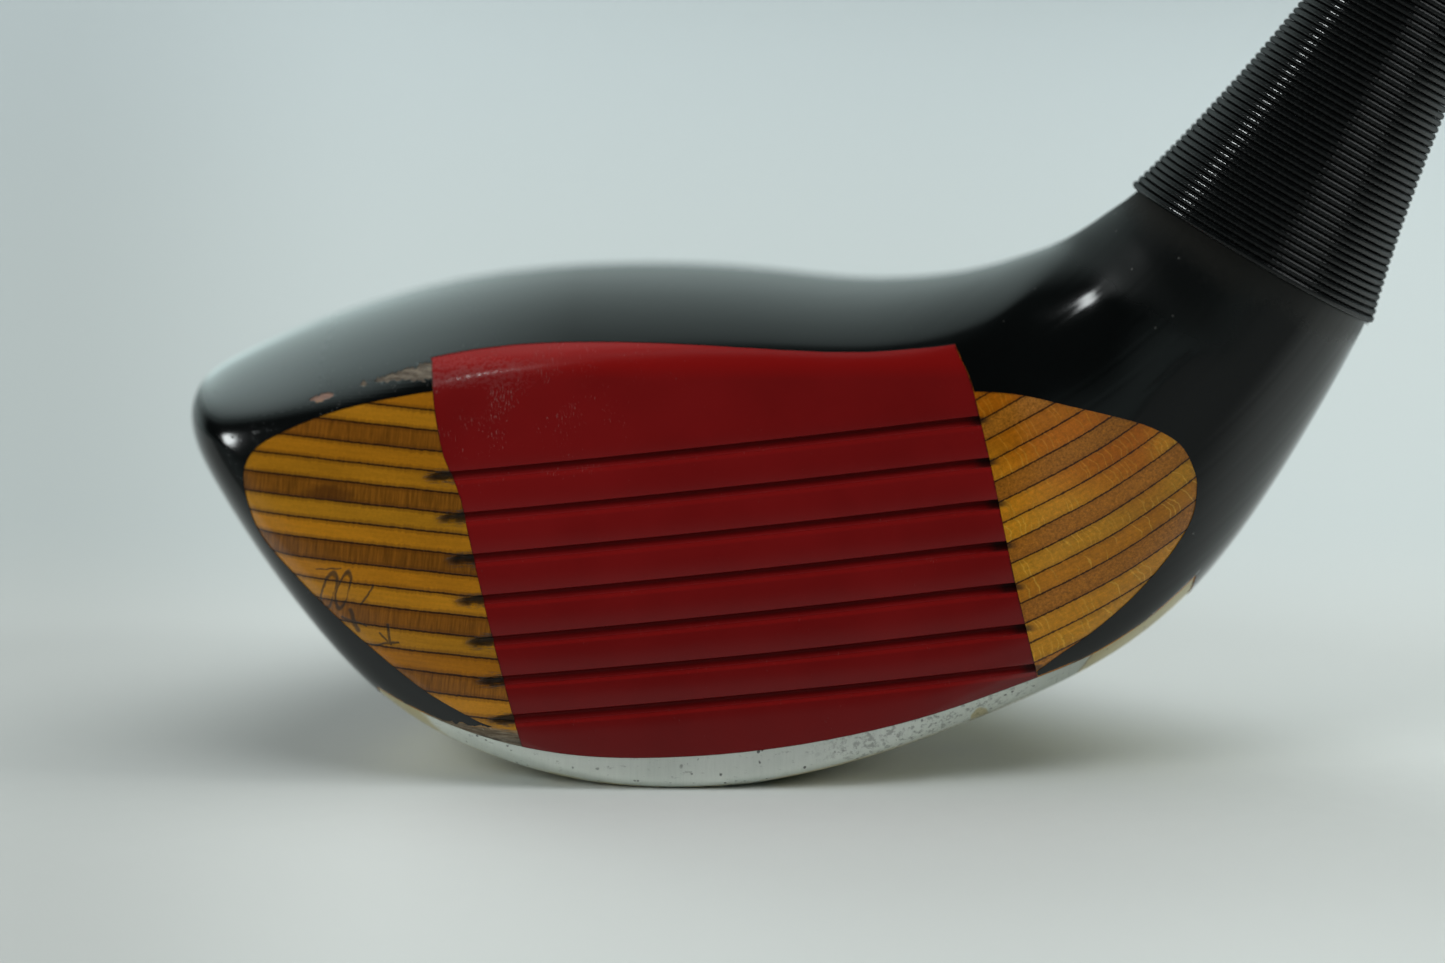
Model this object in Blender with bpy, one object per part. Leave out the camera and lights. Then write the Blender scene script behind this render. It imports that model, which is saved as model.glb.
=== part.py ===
"""Laminated-wood fairway wood (right-handed 3-wood), complete club, at rest on its sole.

World frame: +X from toe to heel, +Y from the face to the back of the head, +Z up.
The origin is on the flat of the sole, which touches the ground plane z = 0.  Lengths are
millimetres, with y counted from the leading edge, and become metres once, when a mesh
is made.  The shaft frame has its origin at the neck ring and its Z axis up the shaft.

Head outwards: bent maple plies in a stack, a plastic insert in the face, an aluminium
plate screwed to the sole over a lead slug, a stepped steel shaft pinned in the neck, a
ferrule above the neck, thread whipping over both, and a rubber grip over tape, with a
cap in its end.
"""

from itertools import product
from math import atan, cos, exp, pi, radians, sin, tan

import bmesh
import bpy
import numpy as np
from mathutils import Vector
from mathutils.bvhtree import BVHTree

for old in list(bpy.data.objects):
    bpy.data.objects.remove(old, do_unlink=True)

# ---------------------------------------------------------------- driving dimensions
MM = 0.001
GAP = 0.3                      # clearance between neighbouring pieces
SHARP_ANGLE = 35.0             # edges bent more than this are shaded sharp, degrees

CLUB_LENGTH = 1079.5           # butt to ground along the shaft (42.5 in)
LIE = 60.0                     # shaft to ground, degrees
SOLE_REST_Y = 12.0             # from the leading edge back to the world origin

LOFT = 16.0                    # face to vertical, degrees
BULGE = 280.0                  # face radius toe to heel
ROLL = 300.0                   # face radius top to bottom
FACE_X, FACE_Z = 2.0, 20.0     # middle of the bulge and roll
FACE_SHIFT = -0.67             # y of the face plane at z = 0
FACE_SOFTNESS = 1.7            # rounding where the face cuts the head, mm squared
FACE_FADE = (9.6, 3.6)         # section where the face cut starts to fade, and over how many

NECK_RING = (51.5, 17.0, 47.05)   # centre of the neck where the whipping starts
NECK_R = 12.3                     # neck radius there
NECK_TOP = 36.0                   # wooden neck above that ring, along the shaft
TAPER_DROP, TAPER_LENGTH = 10.0, 35.0   # the neck thins by DROP as exp(-along / LENGTH)
BORE_R = 4.55
BORE_END = -36.0

PLY_CENTRE_X, PLY_CENTRE_Z = -5.2, 87.2   # the plies bend about this line
PLY_OVAL = 1.035               # they are this much tighter up and down
PLY_R0 = 64.3                  # radius of glue line 0
PLY_PITCH = 1.86               # one ply and its glue
PLY_FIRST, PLY_LAST = -9, 11   # glue lines, crown to sole
PLY_LIMITS = (25.0, 112.0)     # radii clear of the crown and of the sole
PLY_TOE = -5.0                 # the plies run straight out to the toe at this angle
PLY_TOE_RUN, PLY_NECK_RUN = -60.0, 75.0   # straight runs past the two ends of the bend
PLY_STEPS = 13                 # steps in the bend
PLY_SPAN_Y = (-30.0, 90.0)

REGION_FRONT = -25.0           # y of the insert and plate cutters' fronts, before the head

INSERT_DEPTH = 7.0             # insert thickness behind the face plane
INSERT_BOTTOM, INSERT_RISE = -3.0, 52.0   # cutter's lowest z and its height
INSERT_STEPS = 26
# Side edges of the insert: x at z = 0, slope, curvature, and eased sideways shifts as
# (start height, height they take, shift in x).
INSERT_TOE = (-15.3, -0.31, 0.0017, ((25.5, 5, -0.9), (33, 5, 0.35)))
INSERT_HEEL = (33.6, -0.243, 0.0, ((17, 15, 0.42), (36, 4, -0.7)))

SCORE_LINES = 7
SCORE_PITCH = 3.75
SCORE_LOW = 7.7                # height of the lowest line at FACE_X, before its shift
SCORE_SLOPE = 0.096
SCORE_W, SCORE_D = 0.9, 0.55
SCORE_MOUTH = 0.1              # depth at which the groove's straight sides end
SCORE_START, SCORE_LENGTH = -30.0, 66.0   # cutter's toe end and length in x
SCORE_STEPS = 8
SHIFT_X, SHIFT_Z = -17.0, 8.0  # where the shifts of the lines are counted from
LOW_LIFT = 0.26                # lift at SHIFT_Z, gone one pitch higher
FAN_RISE = 23.0                # height over which the fan below is reached
FAN_LIFT, FAN_SLOPE = 0.1, 0.0058   # lift at SHIFT_X, and its growth towards the heel

PLATE_X, PLATE_HALF = 8.0, 38.2    # middle and half width of the sole plate
PLATE_FRONT, PLATE_DEPTH = -4.0, 50.0   # y its depth is counted from, and the depth
PLATE_BOTTOM = -12.0           # underside of its cutter
PLATE_STEPS = 18
PLATE_LOW, PLATE_LOW_X = 2.85, -7.0   # its upper edge at its lowest, and where that is
PLATE_RISE_TOE, PLATE_RISE_HEEL = 0.0094, 0.0046   # rise per mm squared from there
PLATE_TIP_X, PLATE_TIP_RISE = 35.0, 0.02   # extra rise on the heel side of this x

SCREWS = {                     # position on the sole (x, y)
    "toe_front": (-15.0, 17.0),
    "heel_front": (25.0, 17.0),
    "toe_back": (-9.0, 36.0),
    "heel_back": (18.0, 35.0),
    "heel_tip": (35.0, 27.5),
}
SCREW_SUNK = 0.25              # screw heads below the sole surface
# Screw and its hole, (distance into the head, radius).
SCREW_PROFILE = [(0.0, 3.3), (0.3, 3.3), (2.1, 1.6), (9.0, 1.5), (11.0, 0.5)]
SCREW_HOLE = [(-4.0, 3.3 + GAP), (0.3, 3.3 + GAP), (2.25, 1.6 + GAP), (11.4, 1.5 + GAP)]
SLOT_BOX = ((-5, 5), (-0.4, 0.4), (-1.0, 0.8))   # x, y and z extents of the slot cutter

SLUG_X, SLUG_Y, SLUG_R = 4.0, 26.0, 7.0
SLUG_LOW, SLUG_HIGH = 4.7, 14.0
SLUG_CHAMFER = 0.6
SLUG_POCKET_LOW = -8.0

PIN_ALONG, PIN_R = 7.0, 1.2    # place of the neck pin along the shaft, and its radius
PIN_IN, PIN_OUT = -8.0, 10.0   # its ends across the shaft
PIN_HOLE_OUT = 20.0

TIP_R, BUTT_R = 4.25, 7.62
TIP_BORE_R = 3.3
STEP_BORE_R, BUTT_BORE_R = 6.85, 6.95   # bore above the last step and at the butt
STEPS = 14
STEP_FIRST, STEP_PITCH, STEP_LENGTH = 170.0, 44.45, 1.4

WHIP_TOP = 50.0
WHIP_REACH = 0.85              # outside of the whipping above the neck's surface
FERRULE_TOP = 66.0

GRIP_LENGTH = 264.0
GRIP_R, GRIP_SWELL, GRIP_POWER = 9.8, 3.6, 1.15   # radius, and how it grows to the butt
TAPE_T = 0.25
CAP_T = 3.6

# Cross-sections of the head from the toe point round to short of the neck ring.  Each is
# a closed curve spanned by the chord from its lowest to its highest point and by Y:
# x low, z low, x high, z high, y front, y of the top, y back, y of the bottom,
# height of the back's fullest line (0 to 1), and the squareness of the four quarters
# (top front, top back, bottom back, bottom front; 2 is an ellipse).
SECTIONS = [
    (-48.4, 31.8, -48.4, 31.8, 22.0, 22.0, 22.0, 22.0, 0.50, 2.0, 2.0, 2.0, 2.0),
    (-47.9, 29.0, -47.9, 34.0, 17.5, 22.5, 29.0, 22.0, 0.50, 1.7, 2.0, 2.0, 2.0),
    (-46.2, 25.8, -46.2, 35.7, 13.5, 23.5, 36.0, 21.0, 0.48, 1.62, 2.0, 2.0, 2.1),
    (-42.5, 20.3, -42.4, 37.4, 10.0, 26.0, 44.5, 19.0, 0.46, 1.6, 2.0, 2.1, 2.3),
    (-37.0, 13.4, -37.0, 39.3, 7.0, 30.0, 52.5, 17.0, 0.44, 1.75, 2.0, 2.2, 2.8),
    (-30.0, 6.7, -30.4, 41.0, 4.0, 34.0, 60.0, 15.0, 0.42, 1.95, 2.0, 2.4, 3.4),
    (-21.5, 2.2, -21.8, 42.5, 0.6, 38.0, 66.0, 14.0, 0.40, 2.15, 2.0, 2.5, 4.2),
    (-9.5, -0.5, -10.0, 43.4, -2.6, 40.0, 69.0, 13.0, 0.40, 2.25, 2.0, 2.6, 5.0),
    (3.7, -0.5, 3.8, 43.3, -3.8, 39.0, 68.0, 13.0, 0.40, 2.3, 2.0, 2.6, 5.0),
    (16.6, 2.0, 15.6, 42.6, -2.4, 36.0, 62.5, 13.0, 0.41, 2.3, 2.0, 2.5, 4.2),
    (27.7, 5.3, 25.0, 43.8, 0.5, 31.0, 54.0, 14.0, 0.43, 2.2, 2.0, 2.3, 3.2),
    (37.3, 9.5, 30.5, 46.0, 0.0, 25.5, 45.5, 15.0, 0.46, 2.1, 2.0, 2.1, 2.6),
    (46.3, 16.0, 34.9, 48.5, 2.0, 20.5, 38.0, 16.5, 0.48, 2.0, 2.0, 2.0, 2.3),
    (54.8, 27.3, 38.4, 51.3, 3.7, 17.5, 32.5, 17.0, 0.50, 2.0, 2.0, 2.0, 2.0),
]
NECK_STATIONS = (0.0, 5.0, 14.0, 26.0, NECK_TOP)   # sections added along the neck
MIRRORED = 3                   # sections carried on beyond the toe point
# Where the head is meshed, in section numbers; closer towards the toe.
ROWS = [0, 0.4, 0.8, 1.4, 2, 2.6, 3.3, *range(4, 19)]
AROUND = 26

TILT = radians(90.0 - LIE)
AXIS = Vector((sin(TILT), 0.0, cos(TILT)))
ACROSS = Vector((cos(TILT), 0.0, -sin(TILT)))
SHAFT_TOP = CLUB_LENGTH - NECK_RING[2] / AXIS.z - CAP_T - GAP


# ---------------------------------------------------------------- materials
def finish(name, colour, roughness, metallic=0.0, coat=0.0):
    mat = bpy.data.materials.new(name)
    mat.use_nodes = True
    inputs = mat.node_tree.nodes["Principled BSDF"].inputs
    inputs["Base Color"].default_value = (*colour, 1.0)
    inputs["Roughness"].default_value = roughness
    inputs["Metallic"].default_value = metallic
    inputs["Coat Weight"].default_value = coat
    mat.diffuse_color = (*colour, 1.0)
    return mat


maple = finish("maple_ply", colour=(0.60, 0.33, 0.09), roughness=0.35, coat=0.6)
maple_dark = finish("maple_ply_cross_grain", colour=(0.42, 0.20, 0.05), roughness=0.4, coat=0.6)
red_plastic = finish("red_plastic", colour=(0.28, 0.012, 0.015), roughness=0.3)
aluminium = finish("aluminium", colour=(0.62, 0.63, 0.62), roughness=0.45, metallic=1.0)
steel = finish("zinc_plated_steel", colour=(0.55, 0.55, 0.53), roughness=0.35, metallic=1.0)
lead = finish("lead", colour=(0.22, 0.23, 0.25), roughness=0.6, metallic=1.0)
chrome = finish("chromed_steel", colour=(0.75, 0.76, 0.78), roughness=0.08, metallic=1.0)
black_plastic = finish("black_plastic", colour=(0.012, 0.012, 0.013), roughness=0.25)
thread = finish("black_thread", colour=(0.015, 0.016, 0.016), roughness=0.5)
paper_tape = finish("paper_tape", colour=(0.62, 0.55, 0.40), roughness=0.8)
rubber = finish("black_rubber", colour=(0.02, 0.02, 0.021), roughness=0.75)


# ---------------------------------------------------------------- frames
def linked(name, data, parent):
    obj = bpy.data.objects.new(name, data)
    obj.parent = parent
    bpy.context.scene.collection.objects.link(obj)
    return obj


def frame(name, location=(0, 0, 0), tilt=0.0, parent=None):
    obj = linked(name, None, parent)
    obj.location = Vector(location) * MM
    obj.rotation_euler = (0.0, tilt, 0.0)
    return obj


club = frame("club", (0.0, -SOLE_REST_Y, 0.0))
head_frame = frame("head_frame", parent=club)
shaft_frame = frame("shaft_frame", NECK_RING, TILT, parent=club)


# ---------------------------------------------------------------- mesh helpers
def shade(mesh):
    mesh.shade_smooth()
    mesh.set_sharp_from_angle(angle=radians(SHARP_ANGLE))


def solid(name, points, faces, mat=None, parent=club):
    """A closed mesh object from points in millimetres, its faces turned outwards."""
    mesh = bpy.data.meshes.new(name)
    mesh.from_pydata([tuple(c * MM for c in p) for p in points], [], faces)
    bm = bmesh.new()
    bm.from_mesh(mesh)
    bmesh.ops.recalc_face_normals(bm, faces=bm.faces)
    if bm.calc_volume(signed=True) < 0:
        bmesh.ops.reverse_faces(bm, faces=bm.faces)
    bm.to_mesh(mesh)
    bm.free()
    shade(mesh)
    if mat:
        mesh.materials.append(mat)
    return linked(name, mesh, parent)


def skin(count, n, first=0, wrap=False):
    """Quads between count rings of n points, numbered from first; wrap joins the ends."""
    faces = []
    for i in range(count if wrap else count - 1):
        here, there = first + i * n, first + (i + 1) % count * n
        for j in range(n):
            k = (j + 1) % n
            faces.append((here + j, here + k, there + k, there + j))
    return faces


def lofted(name, rings, **kw):
    """A solid through rings of equal length, closed by a face at each end."""
    n = len(rings[0])
    points = [p for ring in rings for p in ring]
    ends = [tuple(range(n)), tuple(range(len(points) - n, len(points)))]
    return solid(name, points, skin(len(rings), n) + ends, **kw)


def turned(name, profile, segments, **kw):
    """A solid turned about the local Z axis.  profile is a closed loop of (z, r)."""
    points = []
    for j in range(segments):
        a = 2 * pi * j / segments
        points += [(r * cos(a), r * sin(a), z) for z, r in profile]
    return solid(name, points, skin(segments, len(profile), wrap=True), **kw)


def rod(name, profile, segments, **kw):
    """A turned solid without a bore.  profile runs along z as (z, r)."""
    angles = [2 * pi * j / segments for j in range(segments)]
    return lofted(name, [[(r * cos(a), r * sin(a), z) for a in angles] for z, r in profile], **kw)


def cutter(obj):
    obj.hide_render = True
    obj.display_type = "WIRE"
    return obj


def boolean(obj, other, operation="DIFFERENCE"):
    mod = obj.modifiers.new(f"{operation.lower()}_{other.name}", "BOOLEAN")
    mod.operation = operation
    mod.object = other
    mod.solver = "MANIFOLD"


def carved(name, source, keep=None, remove=(), mat=None, parent=head_frame):
    """A copy of source's mesh, limited to one cutter and cut by others, modifiers applied."""
    obj = linked(name, source.data.copy(), parent)
    if keep:
        boolean(obj, keep, "INTERSECT")
    for other in remove:
        boolean(obj, other)
    bpy.context.view_layer.update()
    graph = bpy.context.evaluated_depsgraph_get()
    mesh = bpy.data.meshes.new_from_object(obj.evaluated_get(graph))
    obj.modifiers.clear()
    obj.data = mesh
    if mat:
        mesh.materials.clear()      # the cuts may leave slots of their own
        mesh.materials.append(mat)
    return obj


def ease(t):
    """A smooth step from 0 to 1."""
    t = min(max(t, 0.0), 1.0)
    return t * t * (3 - 2 * t)


# ---------------------------------------------------------------- head surface
def neck_radius(along):
    return NECK_R - TAPER_DROP + TAPER_DROP * exp(-max(along, 0.0) / TAPER_LENGTH)


def neck_section(along):
    """A row like those of SECTIONS, round the shaft line."""
    x, y, z = NECK_RING
    r = neck_radius(along)
    x, z = x + AXIS.x * along, z + AXIS.z * along
    return (
        x + ACROSS.x * r, z + ACROSS.z * r, x - ACROSS.x * r, z - ACROSS.z * r,
        y - r, y, y + r, y, 0.5, 2.0, 2.0, 2.0, 2.0,
    )


def section_table():
    # Beyond the toe point the surface comes back the other way up, so that it closes round.
    beyond = [row[2:4] + row[0:2] + row[6:8] + row[4:6] + row[8:]
              for row in SECTIONS[MIRRORED:0:-1]]
    return np.array(beyond + SECTIONS + [neck_section(along) for along in NECK_STATIONS])


def spline_bends(table):
    """Second differences of the smooth curve through evenly numbered rows."""
    n = len(table)
    weights, bends = np.eye(n), np.zeros_like(table)
    for i in range(1, n - 1):
        weights[i, i - 1 : i + 2] = 1.0, 4.0, 1.0
        bends[i] = 6 * (table[i - 1] - 2 * table[i] + table[i + 1])
    return np.linalg.solve(weights, bends)


def section_at(table, bends, number):
    """The cubic spline through the table at a section number, 0 being the toe point."""
    place = number + float(MIRRORED)
    i = min(int(place), len(table) - 2)
    t = place - i
    a = 1 - t
    return a * table[i] + t * table[i + 1] + ((a**3 - a) * bends[i] + (t**3 - t) * bends[i + 1]) / 6


def face_y(x, z):
    """The lofted face, crowned by its bulge and roll."""
    crown = (x - FACE_X) ** 2 / (2 * BULGE) + (z - FACE_Z) ** 2 / (2 * ROLL)
    return z * tan(radians(LOFT)) + crown + FACE_SHIFT


def section_points(row, number, around):
    x_low, z_low, x_high, z_high, y_front, y_top, y_back, y_bottom, fullest, *square = row
    fade_start, fade_span = FACE_FADE
    free = ease((number - fade_start) / fade_span)   # 0 where the face is cut, 1 on the neck
    ring = []
    for j in range(around):
        angle = 2 * pi * j / around
        c, s = cos(angle), sin(angle)
        if c >= 0:
            level, edge = 0.5, y_front
            power = square[0] if s >= 0 else square[3]
        else:
            level, edge = fullest, y_back
            power = square[1] if s >= 0 else square[2]
        middle = y_top if s >= 0 else y_bottom
        y = middle + (edge - middle) * abs(c) ** (2 / power)
        h = level + ((1 if s >= 0 else 0) - level) * abs(s) ** (2 / power)
        x, z = x_low + (x_high - x_low) * h, z_low + (z_high - z_low) * h
        face = face_y(x, z)
        behind = y - face
        cut = face + 0.5 * (behind + (behind * behind + FACE_SOFTNESS) ** 0.5)
        y = free * y + (1 - free) * cut
        ring.append((x, y, max(z, 0.0)))    # the sole is flat at z = 0
    return ring


def build_blank():
    """The whole head before anything is let into it."""
    table = section_table()
    bends = spline_bends(table)
    points = []
    for number in ROWS:
        around = AROUND if number else 1    # a single point at the toe
        points += section_points(section_at(table, bends, number), number, around)
    faces = [(0, 1 + j, 1 + (j + 1) % AROUND) for j in range(AROUND)]
    faces += skin(len(ROWS) - 1, AROUND, first=1)
    faces.append(tuple(range(len(points) - AROUND, len(points))))
    return cutter(solid("head_blank", points, faces, parent=head_frame))


# ---------------------------------------------------------------- head cutters
def ply_curve(radius):
    """(x, z) along a glue line, from beyond the toe to above the neck."""
    first = radians(PLY_TOE)
    last = atan(PLY_OVAL * tan(radians(LIE)))    # there the curve is parallel to the shaft

    def at(turn, run=0.0):
        x = radius * sin(turn) + run * cos(turn)
        down = radius * cos(turn) - run * sin(turn)
        return (PLY_CENTRE_X + x, PLY_CENTRE_Z - down / PLY_OVAL)

    bend = [at(first + (last - first) * i / PLY_STEPS) for i in range(PLY_STEPS + 1)]
    return [at(first, PLY_TOE_RUN)] + bend + [at(last, PLY_NECK_RUN)]


def ply_slab(name, inner, outer):
    front, back = PLY_SPAN_Y
    rings = []
    for (xa, za), (xb, zb) in zip(ply_curve(inner), ply_curve(outer)):
        rings.append([(xa, front, za), (xa, back, za), (xb, back, zb), (xb, front, zb)])
    return cutter(lofted(name, rings))


def plate_edge(x):
    """Height of the sole plate's upper edge along the front of the head."""
    away = x - PLATE_LOW_X
    rise = (PLATE_RISE_TOE if away < 0 else PLATE_RISE_HEEL) * away * away
    return PLATE_LOW + rise + PLATE_TIP_RISE * max(0.0, x - PLATE_TIP_X) ** 2


def plate_block(name, grow):
    """The plate's region, a rounded shield in plan."""
    half = PLATE_HALF + grow
    rings = []
    for i in range(PLATE_STEPS + 1):
        x = PLATE_X - half * cos(pi * i / PLATE_STEPS)
        t = min(abs((x - PLATE_X) / half), 1.0)
        back = (PLATE_DEPTH + grow) * (1 - t**3) ** (1 / 3) + PLATE_FRONT
        back = max(back, PLATE_FRONT + 0.1)
        top = plate_edge(x) + grow
        rings.append([(x, REGION_FRONT, PLATE_BOTTOM), (x, back, PLATE_BOTTOM),
                      (x, back, top), (x, REGION_FRONT, top)])
    return cutter(lofted(name, rings))


def insert_edge(z, edge):
    start, slope, curve, shifts = edge
    x = start + slope * z + curve * z * z
    return x + sum(shift * ease((z - low) / height) for low, height, shift in shifts)


def insert_block(name, grow):
    rings = []
    for i in range(INSERT_STEPS + 1):
        z = INSERT_BOTTOM + INSERT_RISE * i / INSERT_STEPS
        back = z * tan(radians(LOFT)) + INSERT_DEPTH + grow
        toe, heel = insert_edge(z, INSERT_TOE) - grow, insert_edge(z, INSERT_HEEL) + grow
        rings.append([(toe, REGION_FRONT, z), (heel, REGION_FRONT, z),
                      (heel, back, z), (toe, back, z)])
    return cutter(lofted(name, rings))


def score_shift(x, z):
    """The lowest line sits high, and the upper ones fan out to the heel."""
    up = z - SHIFT_Z
    lift = max(0.0, LOW_LIFT * (1 - up / SCORE_PITCH))
    return lift + up / FAN_RISE * (FAN_LIFT + FAN_SLOPE * (x - SHIFT_X))


def score_groove(name, low):
    half = SCORE_W / 2
    # (height above the line, depth behind the face)
    profile = ((half, -2.0), (half, SCORE_MOUTH), (0.0, SCORE_D),
               (-half, SCORE_MOUTH), (-half, -2.0))
    rings = []
    for i in range(SCORE_STEPS + 1):
        x = SCORE_START + SCORE_LENGTH * i / SCORE_STEPS
        z = low + SCORE_SLOPE * (x - FACE_X)
        z += score_shift(x, z)
        rings.append([(x, face_y(x, z + dz) + depth, z + dz) for dz, depth in profile])
    return cutter(lofted(name, rings))


def slug_rod(name, profile, **kw):
    obj = rod(name, profile, segments=18, **kw)
    obj.location = (SLUG_X * MM, SLUG_Y * MM, 0.0)
    return obj


def pin_rod(name, r, start, end, **kw):
    """A rod square across the shaft line."""
    obj = rod(name, [(start, r), (end, r)], segments=10, parent=shaft_frame, **kw)
    obj.rotation_euler = (0.0, pi / 2, 0.0)
    obj.location = (0.0, 0.0, PIN_ALONG * MM)
    return obj


# ---------------------------------------------------------------- head pieces
def find_screw_places(blank):
    """(label, location, rotation) of each screw, square to the sole where it stands."""
    bpy.context.view_layer.update()
    surface = BVHTree.FromObject(blank, bpy.context.evaluated_depsgraph_get())
    places = []
    for label, (x, y) in SCREWS.items():
        start = Vector((x, y, -50.0)) * MM
        hit, normal, _, _ = surface.ray_cast(start, Vector((0, 0, 1)))
        inward = -normal.normalized()
        turn = Vector((0, 0, 1)).rotation_difference(inward).to_euler()
        places.append((label, hit + inward * SCREW_SUNK * MM, turn))
    return places


def pose(obj, place, turn):
    obj.location, obj.rotation_euler = place, turn
    return obj


def build_plies(blank, beds):
    """The head with its pockets, sliced into plies from crown to sole."""
    wood = cutter(carved("wood_block", blank, remove=beds, parent=club))
    lines = [PLY_R0 + PLY_PITCH * k for k in range(PLY_FIRST, PLY_LAST + 1)]
    edges = [PLY_LIMITS[0]] + lines + [PLY_LIMITS[1]]
    last = len(edges) - 2
    for i in range(last + 1):
        inner = edges[i] + (GAP / 2 if i else 0.0)
        outer = edges[i + 1] - (GAP / 2 if i < last else 0.0)
        slab = ply_slab(f"ply_slab_{i + 1:02d}", inner, outer)
        mat = maple_dark if (PLY_FIRST + i - 1) % 3 == 0 else maple
        ply = carved(f"wood_ply_{i + 1:02d}", wood, keep=slab, mat=mat)
        shade(ply.data)


def build_insert(blank, region, plate_bed):
    """The face insert with its score lines."""
    grooves = [score_groove(f"score_{i + 1}", SCORE_LOW + SCORE_PITCH * i)
               for i in range(SCORE_LINES)]
    carved("face_insert", blank, keep=region, remove=[plate_bed, *grooves], mat=red_plastic)


def build_screw(label, place, turn):
    """A countersunk, slotted screw."""
    screw = rod(f"sole_screw_{label}", SCREW_PROFILE, segments=12, mat=steel, parent=head_frame)
    faces = [(0, 1, 3, 2), (4, 5, 7, 6), (0, 1, 5, 4), (2, 3, 7, 6), (0, 2, 6, 4), (1, 3, 7, 5)]
    slot = cutter(solid(f"slot_{label}", list(product(*SLOT_BOX)), faces))
    for obj in (screw, slot):
        pose(obj, place, turn)
    boolean(screw, slot)


def build_slug():
    """The lead slug above the sole plate."""
    profile = [(SLUG_LOW, SLUG_R - SLUG_CHAMFER), (SLUG_LOW + SLUG_CHAMFER, SLUG_R),
               (SLUG_HIGH, SLUG_R)]
    slug_rod("lead_slug", profile, mat=lead, parent=head_frame)


def build_head(pin_bed):
    blank = build_blank()
    places = find_screw_places(blank)

    plate_region = plate_block("plate_region", 0.0)
    plate_bed = plate_block("plate_recess", GAP)
    insert_region = insert_block("insert_region", 0.0)
    insert_bed = insert_block("insert_pocket", GAP)
    bore = cutter(rod("shaft_bore", [(BORE_END, BORE_R), (NECK_TOP + 6, BORE_R)],
                      segments=16, parent=shaft_frame))
    pocket_r = SLUG_R + GAP
    slug_bed = cutter(slug_rod("slug_pocket", [(SLUG_POCKET_LOW, pocket_r),
                                               (SLUG_HIGH + GAP, pocket_r)]))
    screw_beds = [cutter(pose(rod(f"screw_hole_{label}", SCREW_HOLE, segments=12), place, turn))
                  for label, place, turn in places]

    build_plies(blank, [plate_bed, insert_bed, bore, pin_bed, slug_bed, *screw_beds])
    build_insert(blank, insert_region, plate_bed)
    carved("sole_plate", blank, keep=plate_region, remove=screw_beds, mat=aluminium)
    for label, place, turn in places:
        build_screw(label, place, turn)
    build_slug()


# ---------------------------------------------------------------- shaft and neck pieces
def build_shaft(pin_bed):
    """Parallel tip, steps, parallel butt, bored through and drilled for the pin."""
    low = BORE_END + GAP
    outer = [(low, TIP_R)]
    for i in range(STEPS):
        along = STEP_FIRST + STEP_PITCH * i
        below = TIP_R + (BUTT_R - TIP_R) * i / STEPS
        above = TIP_R + (BUTT_R - TIP_R) * (i + 1) / STEPS
        outer += [(along, below), (along + STEP_LENGTH, above)]
    outer.append((SHAFT_TOP, BUTT_R))
    inner = [(SHAFT_TOP, BUTT_BORE_R), (STEP_FIRST + STEP_PITCH * STEPS, STEP_BORE_R),
             (STEP_FIRST, TIP_BORE_R), (low, TIP_BORE_R)]
    shaft = turned("shaft", outer + inner, segments=18, mat=chrome, parent=shaft_frame)
    boolean(shaft, pin_bed)


def build_whipping():
    """Thread over the neck and the lower part of the ferrule."""
    outside = [(z, neck_radius(z) + WHIP_REACH) for z in np.linspace(0.0, WHIP_TOP, 8)]
    inside = [(z, neck_radius(z) + GAP) for z in np.linspace(WHIP_TOP, 0.0, 8)]
    turned("neck_whipping", outside + inside, segments=22, mat=thread, parent=shaft_frame)


def build_ferrule():
    """A skirt under the whipping and a collar above it, flush with its outside."""
    low = NECK_TOP + GAP
    skirt = [(z, neck_radius(z)) for z in np.linspace(low, WHIP_TOP + GAP, 4)]
    collar_r = neck_radius(WHIP_TOP) + WHIP_REACH
    collar = [
        (WHIP_TOP + GAP + 0.02, collar_r - 0.3),
        (WHIP_TOP + 1.0, collar_r),
        (WHIP_TOP + 2.5, collar_r),
        (WHIP_TOP + 8.0, collar_r - 0.45),
        (FERRULE_TOP - 0.6, TIP_R + 0.75),
        (FERRULE_TOP, TIP_R + 0.5),
    ]
    hole = [(FERRULE_TOP, TIP_R + GAP), (low, TIP_R + GAP)]
    turned("neck_ferrule", skirt + collar + hole, segments=22,
           mat=black_plastic, parent=shaft_frame)


def build_grip():
    """Tape on the shaft and a rubber sleeve over it."""
    top = SHAFT_TOP - 0.2
    low = top - GRIP_LENGTH
    tape_in = BUTT_R + GAP
    tape_out = tape_in + TAPE_T
    tape = [(low + 2, tape_out), (top - 1, tape_out), (top - 1, tape_in), (low + 2, tape_in)]
    turned("grip_tape", tape, segments=20, mat=paper_tape, parent=shaft_frame)

    sleeve = [(low, 9.3), (low + 1.2, 9.75), (low + 6, GRIP_R)]
    sleeve += [(low + GRIP_LENGTH * t, GRIP_R + GRIP_SWELL * t**GRIP_POWER)
               for t in (0.15, 0.3, 0.5, 0.7, 0.85, 0.95)]
    sleeve += [(top, 13.5), (top, tape_out + GAP), (low, tape_out + GAP)]
    turned("grip", sleeve, segments=24, mat=rubber, parent=shaft_frame)


def build_cap():
    """A cap on the butt, its plug inside the shaft."""
    low = SHAFT_TOP + GAP
    high = low + CAP_T
    profile = [(low - 12.0, 6.3), (low - 0.01, 6.5), (low, 13.4), (high - 1.2, 13.5), (high, 12.5)]
    rod("butt_cap", profile, segments=24, mat=black_plastic, parent=shaft_frame)


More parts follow.
